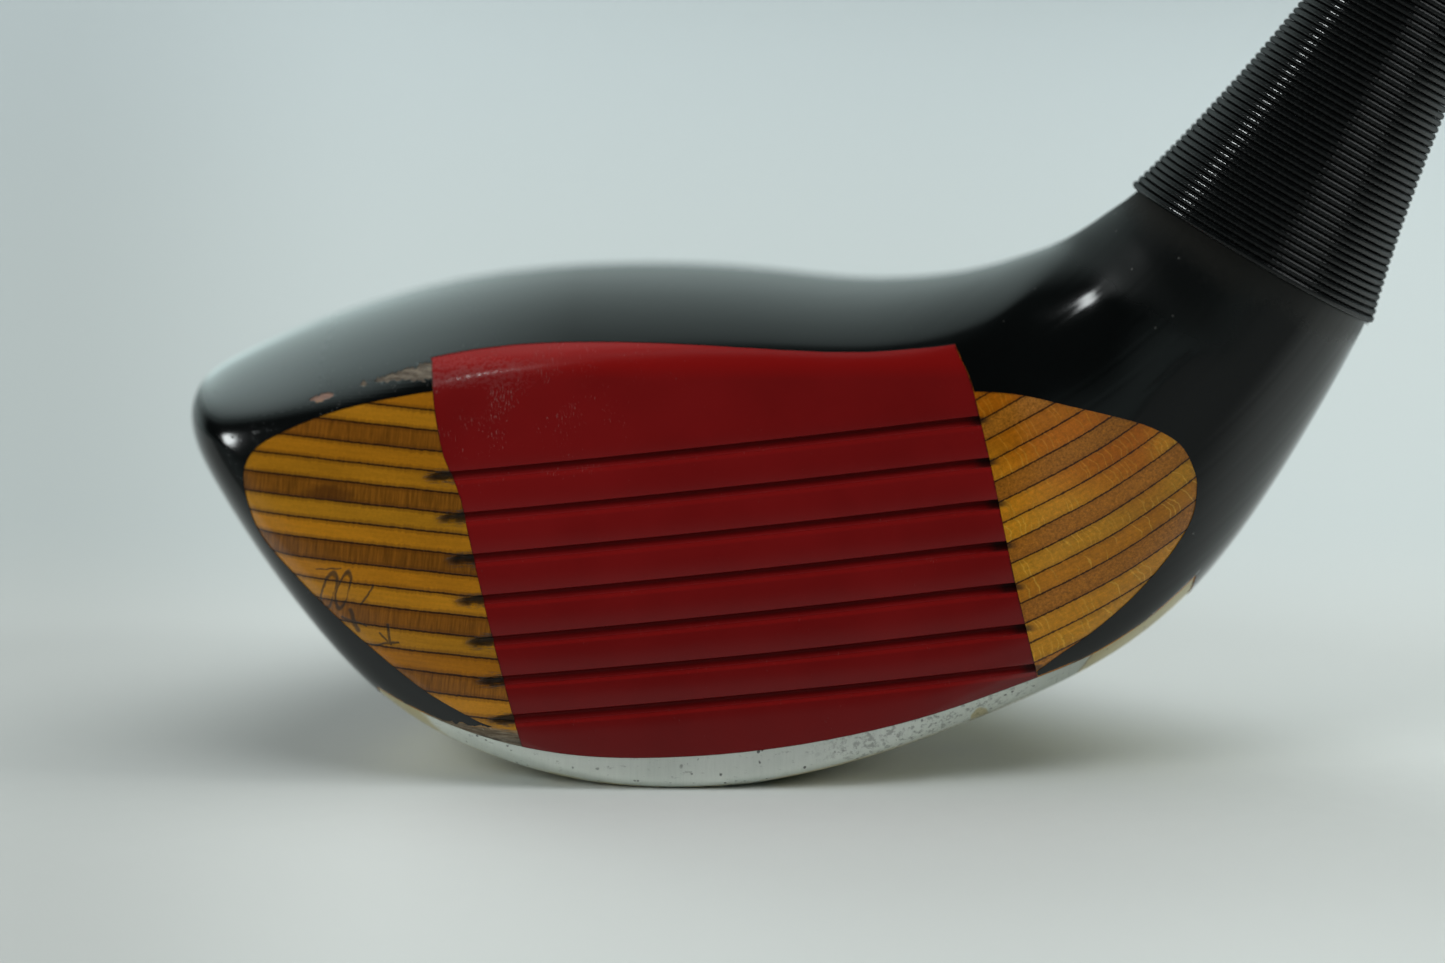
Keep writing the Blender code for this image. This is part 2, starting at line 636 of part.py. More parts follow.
# ---------------------------------------------------------------- build
pin_hole = cutter(pin_rod("pin_hole", PIN_R + GAP, PIN_IN - GAP, PIN_HOLE_OUT))
build_head(pin_hole)
build_shaft(pin_hole)
pin_rod("neck_pin", PIN_R, PIN_IN, PIN_OUT, mat=steel)
build_whipping()
build_ferrule()
build_grip()
build_cap()
bpy.context.view_layer.update()
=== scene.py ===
"""Looks of a laminated-wood fairway wood: fine surfaces, materials and studio.

Every fine piece follows the cross-sections, ply curves and score lines of its CAD part.
Sizes are millimetres.  On the head x runs from toe to heel, y back from the leading edge
of the face and z up; the frame's origin lies SOLE_REST_Y behind that edge.  Shaft pieces
stand on local Z, which starts at the neck ring.
"""

from math import atan, cos, exp, pi, radians, sin, tan

import bmesh
import bpy
import numpy as np
from mathutils import Matrix, Vector
from mathutils.bvhtree import BVHTree


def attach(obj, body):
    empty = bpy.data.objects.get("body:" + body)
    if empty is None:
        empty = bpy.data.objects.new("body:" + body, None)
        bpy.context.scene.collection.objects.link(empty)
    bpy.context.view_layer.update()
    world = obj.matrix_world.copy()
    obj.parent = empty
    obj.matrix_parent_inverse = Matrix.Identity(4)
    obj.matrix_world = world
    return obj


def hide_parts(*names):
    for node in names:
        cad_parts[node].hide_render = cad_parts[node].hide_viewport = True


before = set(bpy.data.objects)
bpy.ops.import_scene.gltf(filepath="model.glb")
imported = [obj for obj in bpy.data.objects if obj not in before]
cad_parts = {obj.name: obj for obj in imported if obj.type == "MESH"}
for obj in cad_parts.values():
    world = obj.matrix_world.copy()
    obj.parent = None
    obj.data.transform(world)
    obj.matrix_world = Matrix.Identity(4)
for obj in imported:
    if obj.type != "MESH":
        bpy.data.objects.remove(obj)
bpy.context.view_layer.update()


# ---------------------------------------------------------------- driving dimensions (mm)
MM = 0.001
LIE, LOFT = 60, 16             # degrees
FACE_X, FACE_Z = 2, 20         # middle of the face
BULGE, ROLL = 280, 300         # radii of the face, across and upwards
CLUB_LENGTH = 1079.5
SOLE_REST_Y = 12
NECK_RING = (51.5, 17, 47.05)
NECK_R, NECK_TOP = 12.3, 36
TAPER_A, TAPER_L = 10, 35      # radius the neck loses, and how slowly
BORE_R, BORE_END = 4.55, -36

PLY_CENTRE = (-5.2, 87.2)
PLY_OVAL, PLY_R0, PLY_PITCH = 1.035, 64.3, 1.86
PLY_FIRST, PLY_LAST = -9, 11
PLY_INNERMOST, PLY_OUTERMOST = 25, 112
PLY_GAP = 0.01                 # each ply stands this far back from its joint
PLY_TOE = radians(-5)          # the plies run straight beyond these two turns
PLY_NECK = atan(PLY_OVAL * tan(radians(LIE)))

INSERT_DEPTH = 7
SCORE_LINES, SCORE_PITCH, SCORE_LOW, SCORE_SLOPE = 7, 3.75, 7.7, 0.096
SCORE_OVERRUN = 2.9            # the saw ran on into the wood at the toe side
PILLOW = 0.13                  # crown of the land between two score lines
# half width and depth across a score line's round-bottomed cut
SAW_CUT = [(0.43, -2), (0.43, 0), (0.36, 0.3), (0.18, 0.5), (0, 0.54),
           (-0.18, 0.5), (-0.36, 0.3), (-0.43, 0), (-0.43, -2)]

PLATE_LOW = 2.85               # height of the plate's front edge
PLATE_X, PLATE_HALF = 8, 38.2
PLATE_DEPTH, PLATE_FRONT = 50, -4
SCREWS = {                     # x, y and turn of the slot in degrees
    "toe_front": (-15, 17, 24),
    "heel_front": (25, 17, -41),
    "toe_back": (-9, 36, 68),
    "heel_back": (18, 35, 9),
    "heel_tip": (35, 27.5, -15),
}
WHIP_TOP, THREAD, WHIP_WALL = 50, 0.67, 0.85
FERRULE_TOP = 66
TIP_R, BUTT_R = 4.25, 7.62
STEPS, STEP_FIRST, STEP_PITCH = 14, 170, 44.45
GRIP_LENGTH, CAP_T, CAP_GAP = 264, 3.6, 0.3

COAT = 0.07                    # the black lacquer stands this much proud of the wood
COAT_INSIDE = -0.45

# Cross-sections of the head, toe point to neck ring.  Columns: x, z of the lowest point;
# x, z of the highest; y of the front, top, back and bottom; level of the back (0 to 1);
# powers of the four quarters: front top, back top, back bottom, front bottom.
SECTIONS = [
    (-48.4, 31.8, -48.4, 31.8, 22, 22, 22, 22, 0.50, 2, 2, 2, 2),
    (-47.9, 29, -47.9, 34, 17.5, 22.5, 29, 22, 0.50, 1.7, 2, 2, 2),
    (-46.2, 25.8, -46.2, 35.7, 13.5, 23.5, 36, 21, 0.48, 1.62, 2, 2, 2.1),
    (-42.5, 20.3, -42.4, 37.4, 10, 26, 44.5, 19, 0.46, 1.6, 2, 2.1, 2.3),
    (-37, 13.4, -37, 39.3, 7, 30, 52.5, 17, 0.44, 1.75, 2, 2.2, 2.8),
    (-30, 6.7, -30.4, 41, 4, 34, 60, 15, 0.42, 1.95, 2, 2.4, 3.4),
    (-21.5, 2.2, -21.8, 42.5, 0.6, 38, 66, 14, 0.40, 2.15, 2, 2.5, 4.2),
    (-9.5, -0.5, -10, 43.4, -2.6, 40, 69, 13, 0.40, 2.25, 2, 2.6, 5),
    (3.7, -0.5, 3.8, 43.3, -3.8, 39, 68, 13, 0.40, 2.3, 2, 2.6, 5),
    (16.6, 2, 15.6, 42.6, -2.4, 36, 62.5, 13, 0.41, 2.3, 2, 2.5, 4.2),
    (27.7, 5.3, 25, 43.8, 0.5, 31, 54, 14, 0.43, 2.2, 2, 2.3, 3.2),
    (37.3, 9.5, 30.5, 46, 0, 25.5, 45.5, 15, 0.46, 2.1, 2, 2.1, 2.6),
    (46.3, 16, 34.9, 48.5, 2, 20.5, 38, 16.5, 0.48, 2, 2, 2, 2.3),
    (54.8, 27.3, 38.4, 51.3, 3.7, 17.5, 32.5, 17, 0.50, 2, 2, 2, 2),
]
NECK_STATIONS = (0, 5, 14, 26, NECK_TOP)    # along the shaft, from the neck ring

# Edges of the two clear-finished panels on the face, (x, z).
TOE_PANEL = [
    (-10, 36.4), (-22, 35.8), (-25.1, 35.4), (-27.9, 34.9), (-31.7, 34.1), (-35.4, 33),
    (-39.2, 31.4), (-41.5, 30), (-42.6, 28), (-42.3, 25.2), (-41, 21.9), (-38.2, 18.9),
    (-34.4, 15.4), (-30.6, 12.3), (-25.9, 8.8), (-22.1, 6.7), (-19.6, 5.6), (-17, 5.2), (-10, 5),
]
HEEL_PANEL_SIDE = [(12, 10), (12, 35.6)]
HEEL_PANEL = [
    (21, 35.6), (25.2, 35.5), (29.8, 35.3), (33.9, 34.7), (37.6, 34.1), (41.2, 33.2),
    (44, 31.6), (45.4, 29.1), (45.7, 27.2), (45.3, 24.3), (43.3, 20.9), (40, 17.1),
    (36.3, 13.9), (33.4, 11.9), (31.1, 10.2), (29, 8.6),
]
# Broken places in the lacquer: (x, z) outline, raggedness, random seed.
CHIPS = {
    "chip_top": ([(-32.2, 35.45), (-30.2, 36.25), (-28.2, 36.95), (-26.2, 37.55), (-24.4, 38),
                  (-24.4, 36.6), (-25.8, 36.25), (-27.8, 36.3), (-30.2, 35.95)], 0.11, 3),
    "chip_left": ([(-36.6, 34.35), (-35.4, 34.85), (-34.2, 35.05), (-34.4, 34.6),
                   (-35.8, 34.15)], 0.07, 5),
    "bare_strip": ([(-27.4, 5.9), (-24, 5.75), (-21, 5.55), (-18.5, 5.5), (-15, 5.9),
                    (-13, 2), (-20, 3), (-25.5, 4.6)], 0.09, 8),
}

TILT = radians(90 - LIE)
AXIS = Vector((sin(TILT), 0, cos(TILT)))
ACROSS = Vector((cos(TILT), 0, -sin(TILT)))
SHAFT_FRAME = Matrix.Translation(
    Vector((NECK_RING[0], NECK_RING[1] - SOLE_REST_Y, NECK_RING[2])) * MM
) @ Matrix.Rotation(TILT, 4, "Y")


# ---------------------------------------------------------------- mesh helpers
def mesh_from(name, points, faces, on_head=True):
    """A mesh in metres from millimetre points; head points move to the frame's origin."""
    points = np.array(points, float)
    if on_head:
        points[:, 1] -= SOLE_REST_Y
    mesh = bpy.data.meshes.new(name)
    mesh.from_pydata((points * MM).tolist(), [], faces)
    return mesh


def link(name, mesh, matrix=None):
    obj = bpy.data.objects.new(name, mesh)
    bpy.context.scene.collection.objects.link(obj)
    if matrix is not None:
        obj.matrix_world = matrix
    return obj


def copy_of(obj, name):
    return link(name, obj.data.copy(), obj.matrix_world.copy())


def outwards(mesh, recalculate=True):
    bm = bmesh.new()
    bm.from_mesh(mesh)
    if recalculate:
        bmesh.ops.recalc_face_normals(bm, faces=bm.faces)
    if bm.calc_volume(signed=True) < 0:
        bmesh.ops.reverse_faces(bm, faces=bm.faces)
    bm.to_mesh(mesh)
    bm.free()


def shade(mesh, angle=32):
    mesh.shade_smooth()
    mesh.set_sharp_from_angle(angle=radians(angle))


def tube_faces(rings, count):
    """Faces of a capped tube: so many rings of count points each."""
    faces = []
    for i in range(rings - 1):
        for j in range(count):
            k = (j + 1) % count
            faces.append((i * count + j, i * count + k, (i + 1) * count + k, (i + 1) * count + j))
    faces.append(tuple(range(count)))
    faces.append(tuple(range((rings - 1) * count, rings * count)))
    return faces


def loft(name, rings, on_head=True, matrix=None):
    points = np.array(rings, float).reshape(-1, 3)
    mesh = mesh_from(name, points, tube_faces(len(rings), len(rings[0])), on_head)
    outwards(mesh)
    shade(mesh)
    return link(name, mesh, matrix)


def rod(name, profile, segments, matrix=SHAFT_FRAME):
    """A solid of (z, r) rings about local Z."""
    turns = [2 * pi * j / segments for j in range(segments)]
    rings = [[(r * cos(turn), r * sin(turn), z) for turn in turns] for z, r in profile]
    return loft(name, rings, False, matrix)


def turned(name, profile, segments, angle=32, ripple=None):
    """A shaft piece turned from a closed loop of (z, r); ripple(z, r, turn) changes r."""
    count = len(profile)
    points, faces = [], []
    for j in range(segments):
        turn = 2 * pi * j / segments
        for z, r in profile:
            radius = ripple(z, r, turn) if ripple else r
            points.append((radius * cos(turn), radius * sin(turn), z))
    for j in range(segments):
        k = (j + 1) % segments
        for i in range(count):
            m = (i + 1) % count
            faces.append((j * count + i, j * count + m, k * count + m, k * count + i))
    mesh = mesh_from(name, points, faces, False)
    outwards(mesh)
    shade(mesh, angle)
    return link(name, mesh, SHAFT_FRAME)


def carve(obj, others, operation="DIFFERENCE"):
    """Works Booleans into the mesh.  The cutters stay, for the next piece."""
    for other in others:
        mod = obj.modifiers.new("carve", "BOOLEAN")
        mod.operation = operation
        mod.object = other
        mod.solver = "MANIFOLD"
    bpy.context.view_layer.update()
    graph = bpy.context.evaluated_depsgraph_get()
    mesh = bpy.data.meshes.new_from_object(obj.evaluated_get(graph))
    obj.modifiers.clear()
    old = obj.data
    obj.data = mesh
    if old.users == 0:
        bpy.data.meshes.remove(old)
    if not len(mesh.polygons):
        raise RuntimeError(f"{obj.name} was carved away")
    return obj


CUTTERS = []


def cutter(obj):
    """Notes a construction body, which is removed once the head is built."""
    CUTTERS.append(obj)
    return obj


def smooth_line(points, steps=6):
    """Catmull-Rom through the points, ends kept."""
    line = np.array(points, float)
    line = np.vstack([2 * line[0] - line[1], line, 2 * line[-1] - line[-2]])
    out = []
    for i in range(1, len(line) - 2):
        before, start, end, after = line[i - 1 : i + 3]
        for j in range(steps):
            t = j / steps
            out.append(
                0.5
                * (
                    2 * start
                    + (end - before) * t
                    + (2 * before - 5 * start + 4 * end - after) * t * t
                    + (3 * start - before - 3 * end + after) * t**3
                )
            )
    out.append(line[-2])
    return out


def ragged(outline, amount, seed, steps=10):
    """A closed outline with a broken edge."""
    rng = np.random.default_rng(seed)
    points = np.array(outline + outline[:1], float)
    return [
        start + (end - start) * j / steps + rng.normal(0, amount, 2)
        for start, end in zip(points[:-1], points[1:])
        for j in range(steps)
    ]


def prism(name, outline, front, back):
    """A cutter standing behind an (x, z) outline, from y = front to y = back."""
    return cutter(loft(name, [[(x, y, z) for x, z in outline] for y in (front, back)]))


# ---------------------------------------------------------------- the head's surface
def ease(value, start, end):
    """0 at start, 1 at end, smooth between."""
    share = np.clip((value - start) / (end - start), 0, 1)
    return share * share * (3 - 2 * share)


def neck_radius(along):
    return NECK_R - TAPER_A + TAPER_A * exp(-max(along, 0) / TAPER_L)


def neck_section(along):
    """A row like those of SECTIONS, for the round neck."""
    x, y, z = NECK_RING
    r = neck_radius(along)
    x, z = x + AXIS.x * along, z + AXIS.z * along
    return (
        x + ACROSS.x * r, z + ACROSS.z * r, x - ACROSS.x * r, z - ACROSS.z * r,
        y - r, y, y + r, y, 0.5, 2, 2, 2, 2,
    )


def section_rows(stations):
    """Section columns at fractional stations, by a natural cubic spline."""
    rows = SECTIONS + [neck_section(along) for along in NECK_STATIONS]
    # past the toe point the first sections come back upside down and back to front
    flipped = (2, 3, 0, 1, 6, 7, 4, 5, 8, 9, 10, 11, 12)
    table = np.array([[rows[i][column] for column in flipped] for i in (3, 2, 1)] + rows)
    count = len(table)
    weights, change = np.eye(count), np.zeros_like(table)
    for i in range(1, count - 1):
        weights[i, i - 1 : i + 2] = 1, 4, 1
        change[i] = 6 * (table[i - 1] - 2 * table[i] + table[i + 1])
    bends = np.linalg.solve(weights, change)
    place = np.asarray(stations) + 3.0
    i = np.minimum(place.astype(int), count - 2)
    t = (place - i)[:, None]
    rest = 1 - t
    bent = (rest**3 - rest) * bends[i] + (t**3 - t) * bends[i + 1]
    return rest * table[i] + t * table[i + 1] + bent / 6


def face_plane_y(x, z):
    flat = z * tan(radians(LOFT))
    return flat + (x - FACE_X) ** 2 / (2 * BULGE) + (z - FACE_Z) ** 2 / (2 * ROLL) - 0.67


def quarter(power, count):
    """Evenly spread points round a quarter of a superellipse, from its edge to its end."""
    corner = 0.5 ** (1 / power)[:, None]
    power = power[:, None]
    t = (np.arange(count) / count)[None, :]
    first = t < 0.5
    up = np.where(first, 2 * t * corner, 0.0)
    out = np.where(first, 0.0, 2 * (1 - t) * corner)
    return (
        np.where(first, (1 - up**power) ** (1 / power), out),
        np.where(first, up, (1 - out**power) ** (1 / power)),
    )


def head_grid(stations, counts):
    """Points of the head's surface: one ring for each station, counts points a quarter."""
    rows = section_rows(stations)
    x_low, z_low, x_high, z_high, front, top, back, bottom, level = (
        rows[:, i, None] for i in range(9)
    )
    quarters = [(front, top, 0.5, 1), (back, top, level, 1),
                (back, bottom, level, 0), (front, bottom, 0.5, 0)]
    parts = []
    for i, (edge, middle, start, end) in enumerate(quarters):
        out, up = quarter(np.maximum(rows[:, 9 + i], 1.2), counts[i])
        if i % 2:
            # walked from its end back to its edge
            out = np.hstack([np.zeros((len(rows), 1)), out[:, :0:-1]])
            up = np.hstack([np.ones((len(rows), 1)), up[:, :0:-1]])
        height = start + (end - start) * up
        y = middle + (edge - middle) * out
        x = x_low + (x_high - x_low) * height
        parts.append(np.stack([x, y, z_low + (z_high - z_low) * height], -1))
    grid = np.concatenate(parts, axis=1)
    # the face is flattened to its bulge and roll, fading out towards the neck
    free = ease(np.asarray(stations), 9.6, 13.2)[:, None]
    face = face_plane_y(grid[..., 0], grid[..., 2])
    behind = grid[..., 1] - face
    flattened = face + 0.5 * (behind + np.sqrt(behind * behind + 1.7))
    grid[..., 1] = free * grid[..., 1] + (1 - free) * flattened
    grid[..., 2] = np.maximum(grid[..., 2], 0)
    return grid


def pushed(grid, offset):
    """The grid moved out along its normals."""
    along = np.gradient(grid, axis=0)
    around = np.roll(grid, -1, 1) - np.roll(grid, 1, 1)
    normals = np.cross(along, around)
    normals /= np.linalg.norm(normals, axis=-1, keepdims=True) + 1e-12
    centre = grid.mean(axis=1, keepdims=True)
    side = np.sign(((grid - centre) * normals).sum(-1).mean(axis=1))[:, None, None]
    return grid + normals * side * offset


def shell(grid):
    """(points, faces) of the closed surface, its first ring drawn together to one point."""
    rings, around = grid.shape[:2]
    points = np.vstack([grid[0].mean(axis=0)[None], grid[1:].reshape(-1, 3)])
    pairs = [(j, (j + 1) % around) for j in range(around)]
    faces = [(0, 1 + j, 1 + k) for j, k in pairs]
    for i in range(rings - 2):
        ring = 1 + i * around
        following = ring + around
        faces += [(ring + j, following + j, following + k, ring + k) for j, k in pairs]
    last = 1 + (rings - 2) * around
    faces.append(tuple(range(last + around - 1, last - 1, -1)))
    return points, faces


def stations_to(last=18.0, step=0.05):
    head = list(np.arange(0.0, 14.0, step))
    return np.array(head + list(np.arange(14.0, last - 1e-6, step * 1.6)) + [last])


# ---------------------------------------------------------------- curves the head is cut by
# Functions with a step or highest argument serve numbers and shader values alike.
def ply_curve(radius, steps=56):
    def at(turn, along=0.0):
        x = radius * sin(turn) + along * cos(turn)
        down = radius * cos(turn) - along * sin(turn)
        return (PLY_CENTRE[0] + x, PLY_CENTRE[1] - down / PLY_OVAL)

    arc = [at(PLY_TOE + (PLY_NECK - PLY_TOE) * i / steps) for i in range(steps + 1)]
    return [at(PLY_TOE, -60)] + arc + [at(PLY_NECK, 75)]


def ply_slab(inner, outer):
    rings = []
    for (x_in, z_in), (x_out, z_out) in zip(ply_curve(inner), ply_curve(outer)):
        rings.append([(x_in, -30, z_in), (x_in, 90, z_in), (x_out, 90, z_out), (x_out, -30, z_out)])
    return loft("slab", rings)


def plate_edge(x):
    """Height of the plate's upper edge."""
    from_low = x + 7
    bend = 0.0094 if from_low < 0 else 0.0046
    return PLATE_LOW + bend * from_low * from_low + 0.02 * max(0, x - 35) ** 2


def plate_block(name, grow):
    half = PLATE_HALF + grow
    rings = []
    for i in range(61):
        x = PLATE_X - half * cos(pi * i / 60)
        out = min(abs((x - PLATE_X) / half), 1)
        back = (PLATE_DEPTH + grow) * (1 - out**3) ** (1 / 3) + PLATE_FRONT
        back = max(back, PLATE_FRONT + 0.1)
        top = plate_edge(x) + grow
        rings.append([(x, -25, -12), (x, back, -12), (x, back, top), (x, -25, top)])
    return cutter(loft(name, rings))


def insert_toe_edge(z, step=ease):
    """x of the insert's edge at the toe side."""
    bend = (z * 0.0017 - 0.31) * z - 15.3
    return bend - step(z, 25.5, 30.5) * 0.9 + step(z, 33, 38) * 0.35


def insert_heel_edge(z, step=ease):
    return z * -0.243 + 33.6 + step(z, 17, 32) * 0.42 - step(z, 36, 40) * 0.7


def insert_block(name, grow):
    low, high = -3, 49
    rings = []
    for i in range(41):
        z = low + (high - low) * i / 40
        y = z * tan(radians(LOFT)) + INSERT_DEPTH + grow
        left, right = insert_toe_edge(z) - grow, insert_heel_edge(z) + grow
        rings.append([(left, -25, z), (right, -25, z), (right, y, z), (left, y, z)])
    return cutter(loft(name, rings))


def paint_line_y(x):
    """Where the black lacquer starts on the crown, over the insert."""
    return 11.85 + 3 * ease(x, 8, -22) + 0.7 * ease(x, 11, 25)


def insert_opening(name, grow):
    rings = []
    for i in range(49):
        z = -3 + 60 * i / 48
        left, right = insert_toe_edge(z) - grow, insert_heel_edge(z) + grow
        ring = [(left, -25, z), (right, -25, z)]
        for j in range(13):
            x = right + (left - right) * j / 12
            ring.append((x, paint_line_y(x), z))
        rings.append(ring)
    return cutter(loft(name, rings))


def score_shift(x, z, highest=np.maximum):
    """The lines were sawn by eye: the lowest sits high, the upper ones fan out to the heel."""
    base, lift = 8, 0.26
    lowest = highest((z * -1 + (base + SCORE_PITCH)) * (lift / SCORE_PITCH), 0)
    return lowest + (z - base) / 23 * ((x + 17) * 0.0058 + 0.1)


def score_number(x, z, highest=np.maximum):
    """Fractional number of the score line at (x, z), 0 on the lowest."""
    shift = score_shift(x, z, highest)
    return (z - shift - SCORE_LOW - (x - FACE_X) * SCORE_SLOPE) / SCORE_PITCH


def groove(name, low, start, end, taper=0.0):
    """A score line that follows the face; taper is how far it takes to reach full depth."""
    rings = []
    for i in range(41):
        x = start + (end - start) * i / 40
        z = low + SCORE_SLOPE * (x - FACE_X)
        z += score_shift(x, z)
        full = min(1, (x - start) / taper + 0.02) if taper else 1
        ring = []
        for half, depth in SAW_CUT:
            if depth >= 0:
                depth = 0.10 + depth * full - (1 - full) * 0.12
            height = z + half * (0.45 + 0.55 * full)
            ring.append((x, face_plane_y(x, height) + depth, height))
        rings.append(ring)
    return cutter(loft(name, rings))


def pillowed(grid):
    """The face between score lines, worn into a low crown."""
    x, y, z = np.moveaxis(grid, -1, 0)
    number = score_number(x, z)
    away = np.abs(number - np.clip(np.round(number), 0, SCORE_LINES - 1)) * 2
    dip = PILLOW * np.clip(1 - away, 0, 1) ** 2
    on_face = np.clip(1 - (y - face_plane_y(x, z) - 0.6) / 1.2, 0, 1)
    grid[..., 1] += dip * on_face
    return grid


# ---------------------------------------------------------------- node graphs
def maths(operation):
    return lambda self, *others: self.math(operation, *others)


class Value:
    """One value of a node graph.  Arithmetic on it adds Math nodes."""

    def __init__(self, graph, socket):
        self.graph, self.socket = graph, socket

    def math(self, operation, *others):
        inputs = enumerate((self, *others))
        return self.graph.node("Math", inputs, operation=operation)

    __add__ = __radd__ = maths("ADD")
    __mul__ = __rmul__ = maths("MULTIPLY")
    __sub__ = maths("SUBTRACT")
    __truediv__ = maths("DIVIDE")
    floor = maths("FLOOR")
    fract = maths("FRACT")
    abs = maths("ABSOLUTE")
    sin = maths("SINE")
    cos = maths("COSINE")
    sqrt = maths("SQRT")
    pow = maths("POWER")
    min = maths("MINIMUM")
    max = maths("MAXIMUM")
    over = maths("GREATER_THAN")
    under = maths("LESS_THAN")

    def __rsub__(self, other):
        return self * -1 + other

    def step(self, low, high):
        """0 below low, 1 above high, smooth between; the other way round if low > high."""
        inputs = {"Value": self, "From Min": low, "From Max": high}
        return self.graph.node("MapRange", inputs, "Result", interpolation_type="SMOOTHSTEP")


class Graph:
    def __init__(self, tree):
        self.tree = tree

    def node(self, kind, inputs=(), output=0, **settings):
        """Adds a node and returns one of its outputs."""
        node = self.tree.nodes.new("ShaderNode" + kind)
        for key, value in settings.items():
            setattr(node, key, value)
        for key, value in dict(inputs).items():
            self.put(node.inputs[key], value)
        return Value(self, node.outputs[output])

    def put(self, socket, value):
        if isinstance(value, Value):
            self.tree.links.new(value.socket, socket)
        elif isinstance(value, tuple) and socket.type == "RGBA":
            socket.default_value = (*value, 1)
        else:
            socket.default_value = value

    def split(self, vector):
        first = self.node("SeparateXYZ", {0: vector})
        return tuple(Value(self, output) for output in first.socket.node.outputs)

    def seen(self):
        """1 where the camera looks straight at it."""
        return self.node("LightPath", output="Is Camera Ray")

    def vector(self, place):
        return self.node("CombineXYZ", enumerate(place))

    def noise(self, place, scale=1, detail=2, rough=0.5, distort=0):
        inputs = {"Vector": self.vector(place), "Scale": scale, "Detail": detail,
                  "Roughness": rough, "Distortion": distort}
        return self.node("TexNoise", inputs, "Fac")

    def cells(self, place, scale):
        """Distance to the nearest of many scattered points."""
        inputs = {"Vector": self.vector(place), "Scale": scale}
        return self.node("TexVoronoi", inputs, "Distance")

    def rand(self, number, seed):
        inputs = {"Vector": self.vector((number, seed, 0))}
        return self.node("TexWhiteNoise", inputs, "Value", noise_dimensions="2D")

    def mix(self, factor, first, second, kind="MIX"):
        inputs = {0: factor, 6: first, 7: second}
        return self.node("Mix", inputs, 2, data_type="RGBA", blend_type=kind)

    def blend(self, factor, first, second):
        return self.node("Mix", {0: factor, 2: first, 3: second}, data_type="FLOAT")

    def scaled(self, colour, factor):
        grey = self.node("CombineColor", enumerate((factor,) * 3))
        return self.mix(1, colour, grey, "MULTIPLY")


class Material(Graph):
    """A material; place is (x, y, z) on the piece, in millimetres of its own frame."""

    SOCKETS = {
        "colour": "Base Color", "rough": "Roughness", "metal": "Metallic",
        "spec": "Specular IOR Level", "coat": "Coat Weight", "coat_rough": "Coat Roughness",
        "glow": "Emission Color", "glow_strength": "Emission Strength",
    }

    def __init__(self, name):
        self.material = bpy.data.materials.new(name)
        self.material.use_nodes = True
        super().__init__(self.material.node_tree)
        coords = self.node("TexCoord", output="Object")
        scaled = self.node("VectorMath", {0: coords}, operation="SCALE")
        scaled.socket.node.inputs["Scale"].default_value = 1000
        self.place = self.split(scaled)

    def normal_z(self):
        return self.split(self.node("NewGeometry", output="True Normal"))[2]

    def facing(self):
        """1 where the surface faces the viewer, 0 where it is seen edge on."""
        return 1 - self.node("LayerWeight", {"Blend": 0.5}, "Facing")

    def surface(self, height=None, **looks):
        """Finishes the material; height is the bump in millimetres."""
        inputs = self.tree.nodes["Principled BSDF"].inputs
        for name, value in looks.items():
            self.put(inputs[self.SOCKETS[name]], value)
        if height is not None:
            bump = self.node("Bump", {"Distance": MM, "Strength": 1, "Height": height})
            self.put(inputs["Normal"], bump)
            if "coat" in looks:
                self.put(inputs["Coat Normal"], bump)
        return self.material

    def ply(self):
        """Ply coordinates: radius in plies, distance along the ply, and the turn."""
        x, _, z = self.place
        off_x = x - PLY_CENTRE[0]
        off_z = (PLY_CENTRE[1] - z) * PLY_OVAL
        turn = off_x.math("ARCTAN2", off_z).max(PLY_TOE).min(PLY_NECK)
        cosine, sine = turn.cos(), turn.sin()
        radius = off_x * sine + off_z * cosine
        along = turn * 64 + off_x * cosine - off_z * sine
        return (radius - PLY_R0) / PLY_PITCH, along, turn

    def score(self):
        """(signed distance from the nearest score line in mm, number of that line)."""
        x, _, z = self.place
        number = score_number(x, z, Value.max)
        line = (number + 0.5).floor().max(0).min(SCORE_LINES - 1)
        return (number - line) * SCORE_PITCH, line

    def insert_edges(self):
        """Distance to the left of the insert's toe edge, and to the right of its heel edge."""
        x, _, z = self.place
        return insert_toe_edge(z, Value.step) - x, x - insert_heel_edge(z, Value.step)


# ---------------------------------------------------------------- materials
# Colours are linear RGB.  value.step(low, high) gives the reach of a mark, in millimetres
# for places; (noise - 0.5) * amount sways a value by up to half the amount either way.

# closed loops of the scrawl: centre x, z; radii x, z; lean; line width
SCRAWL_LOOPS = [(-34.5, 17.2, 0.62, 1.75, 0.28, 0.15), (-33.1, 17.4, 0.60, 1.60, 0.30, 0.14)]
# straight strokes of the scrawl: start x, z; end x, z; line width
SCRAWL_STROKES = [
    (-31.4, 16.2, -30.3, 17.9, 0.15), (-33.3, 14.9, -30.9, 14.3, 0.13),
    (-32.5, 15.6, -31.7, 13.7, 0.30), (-28.9, 14.4, -28.6, 12.7, 0.20),
    (-30.4, 12.5, -27.9, 12.9, 0.16), (-29.7, 13.6, -28.9, 12.9, 0.13),
    (-35.6, 19.2, -33.4, 19.4, 0.10),
]


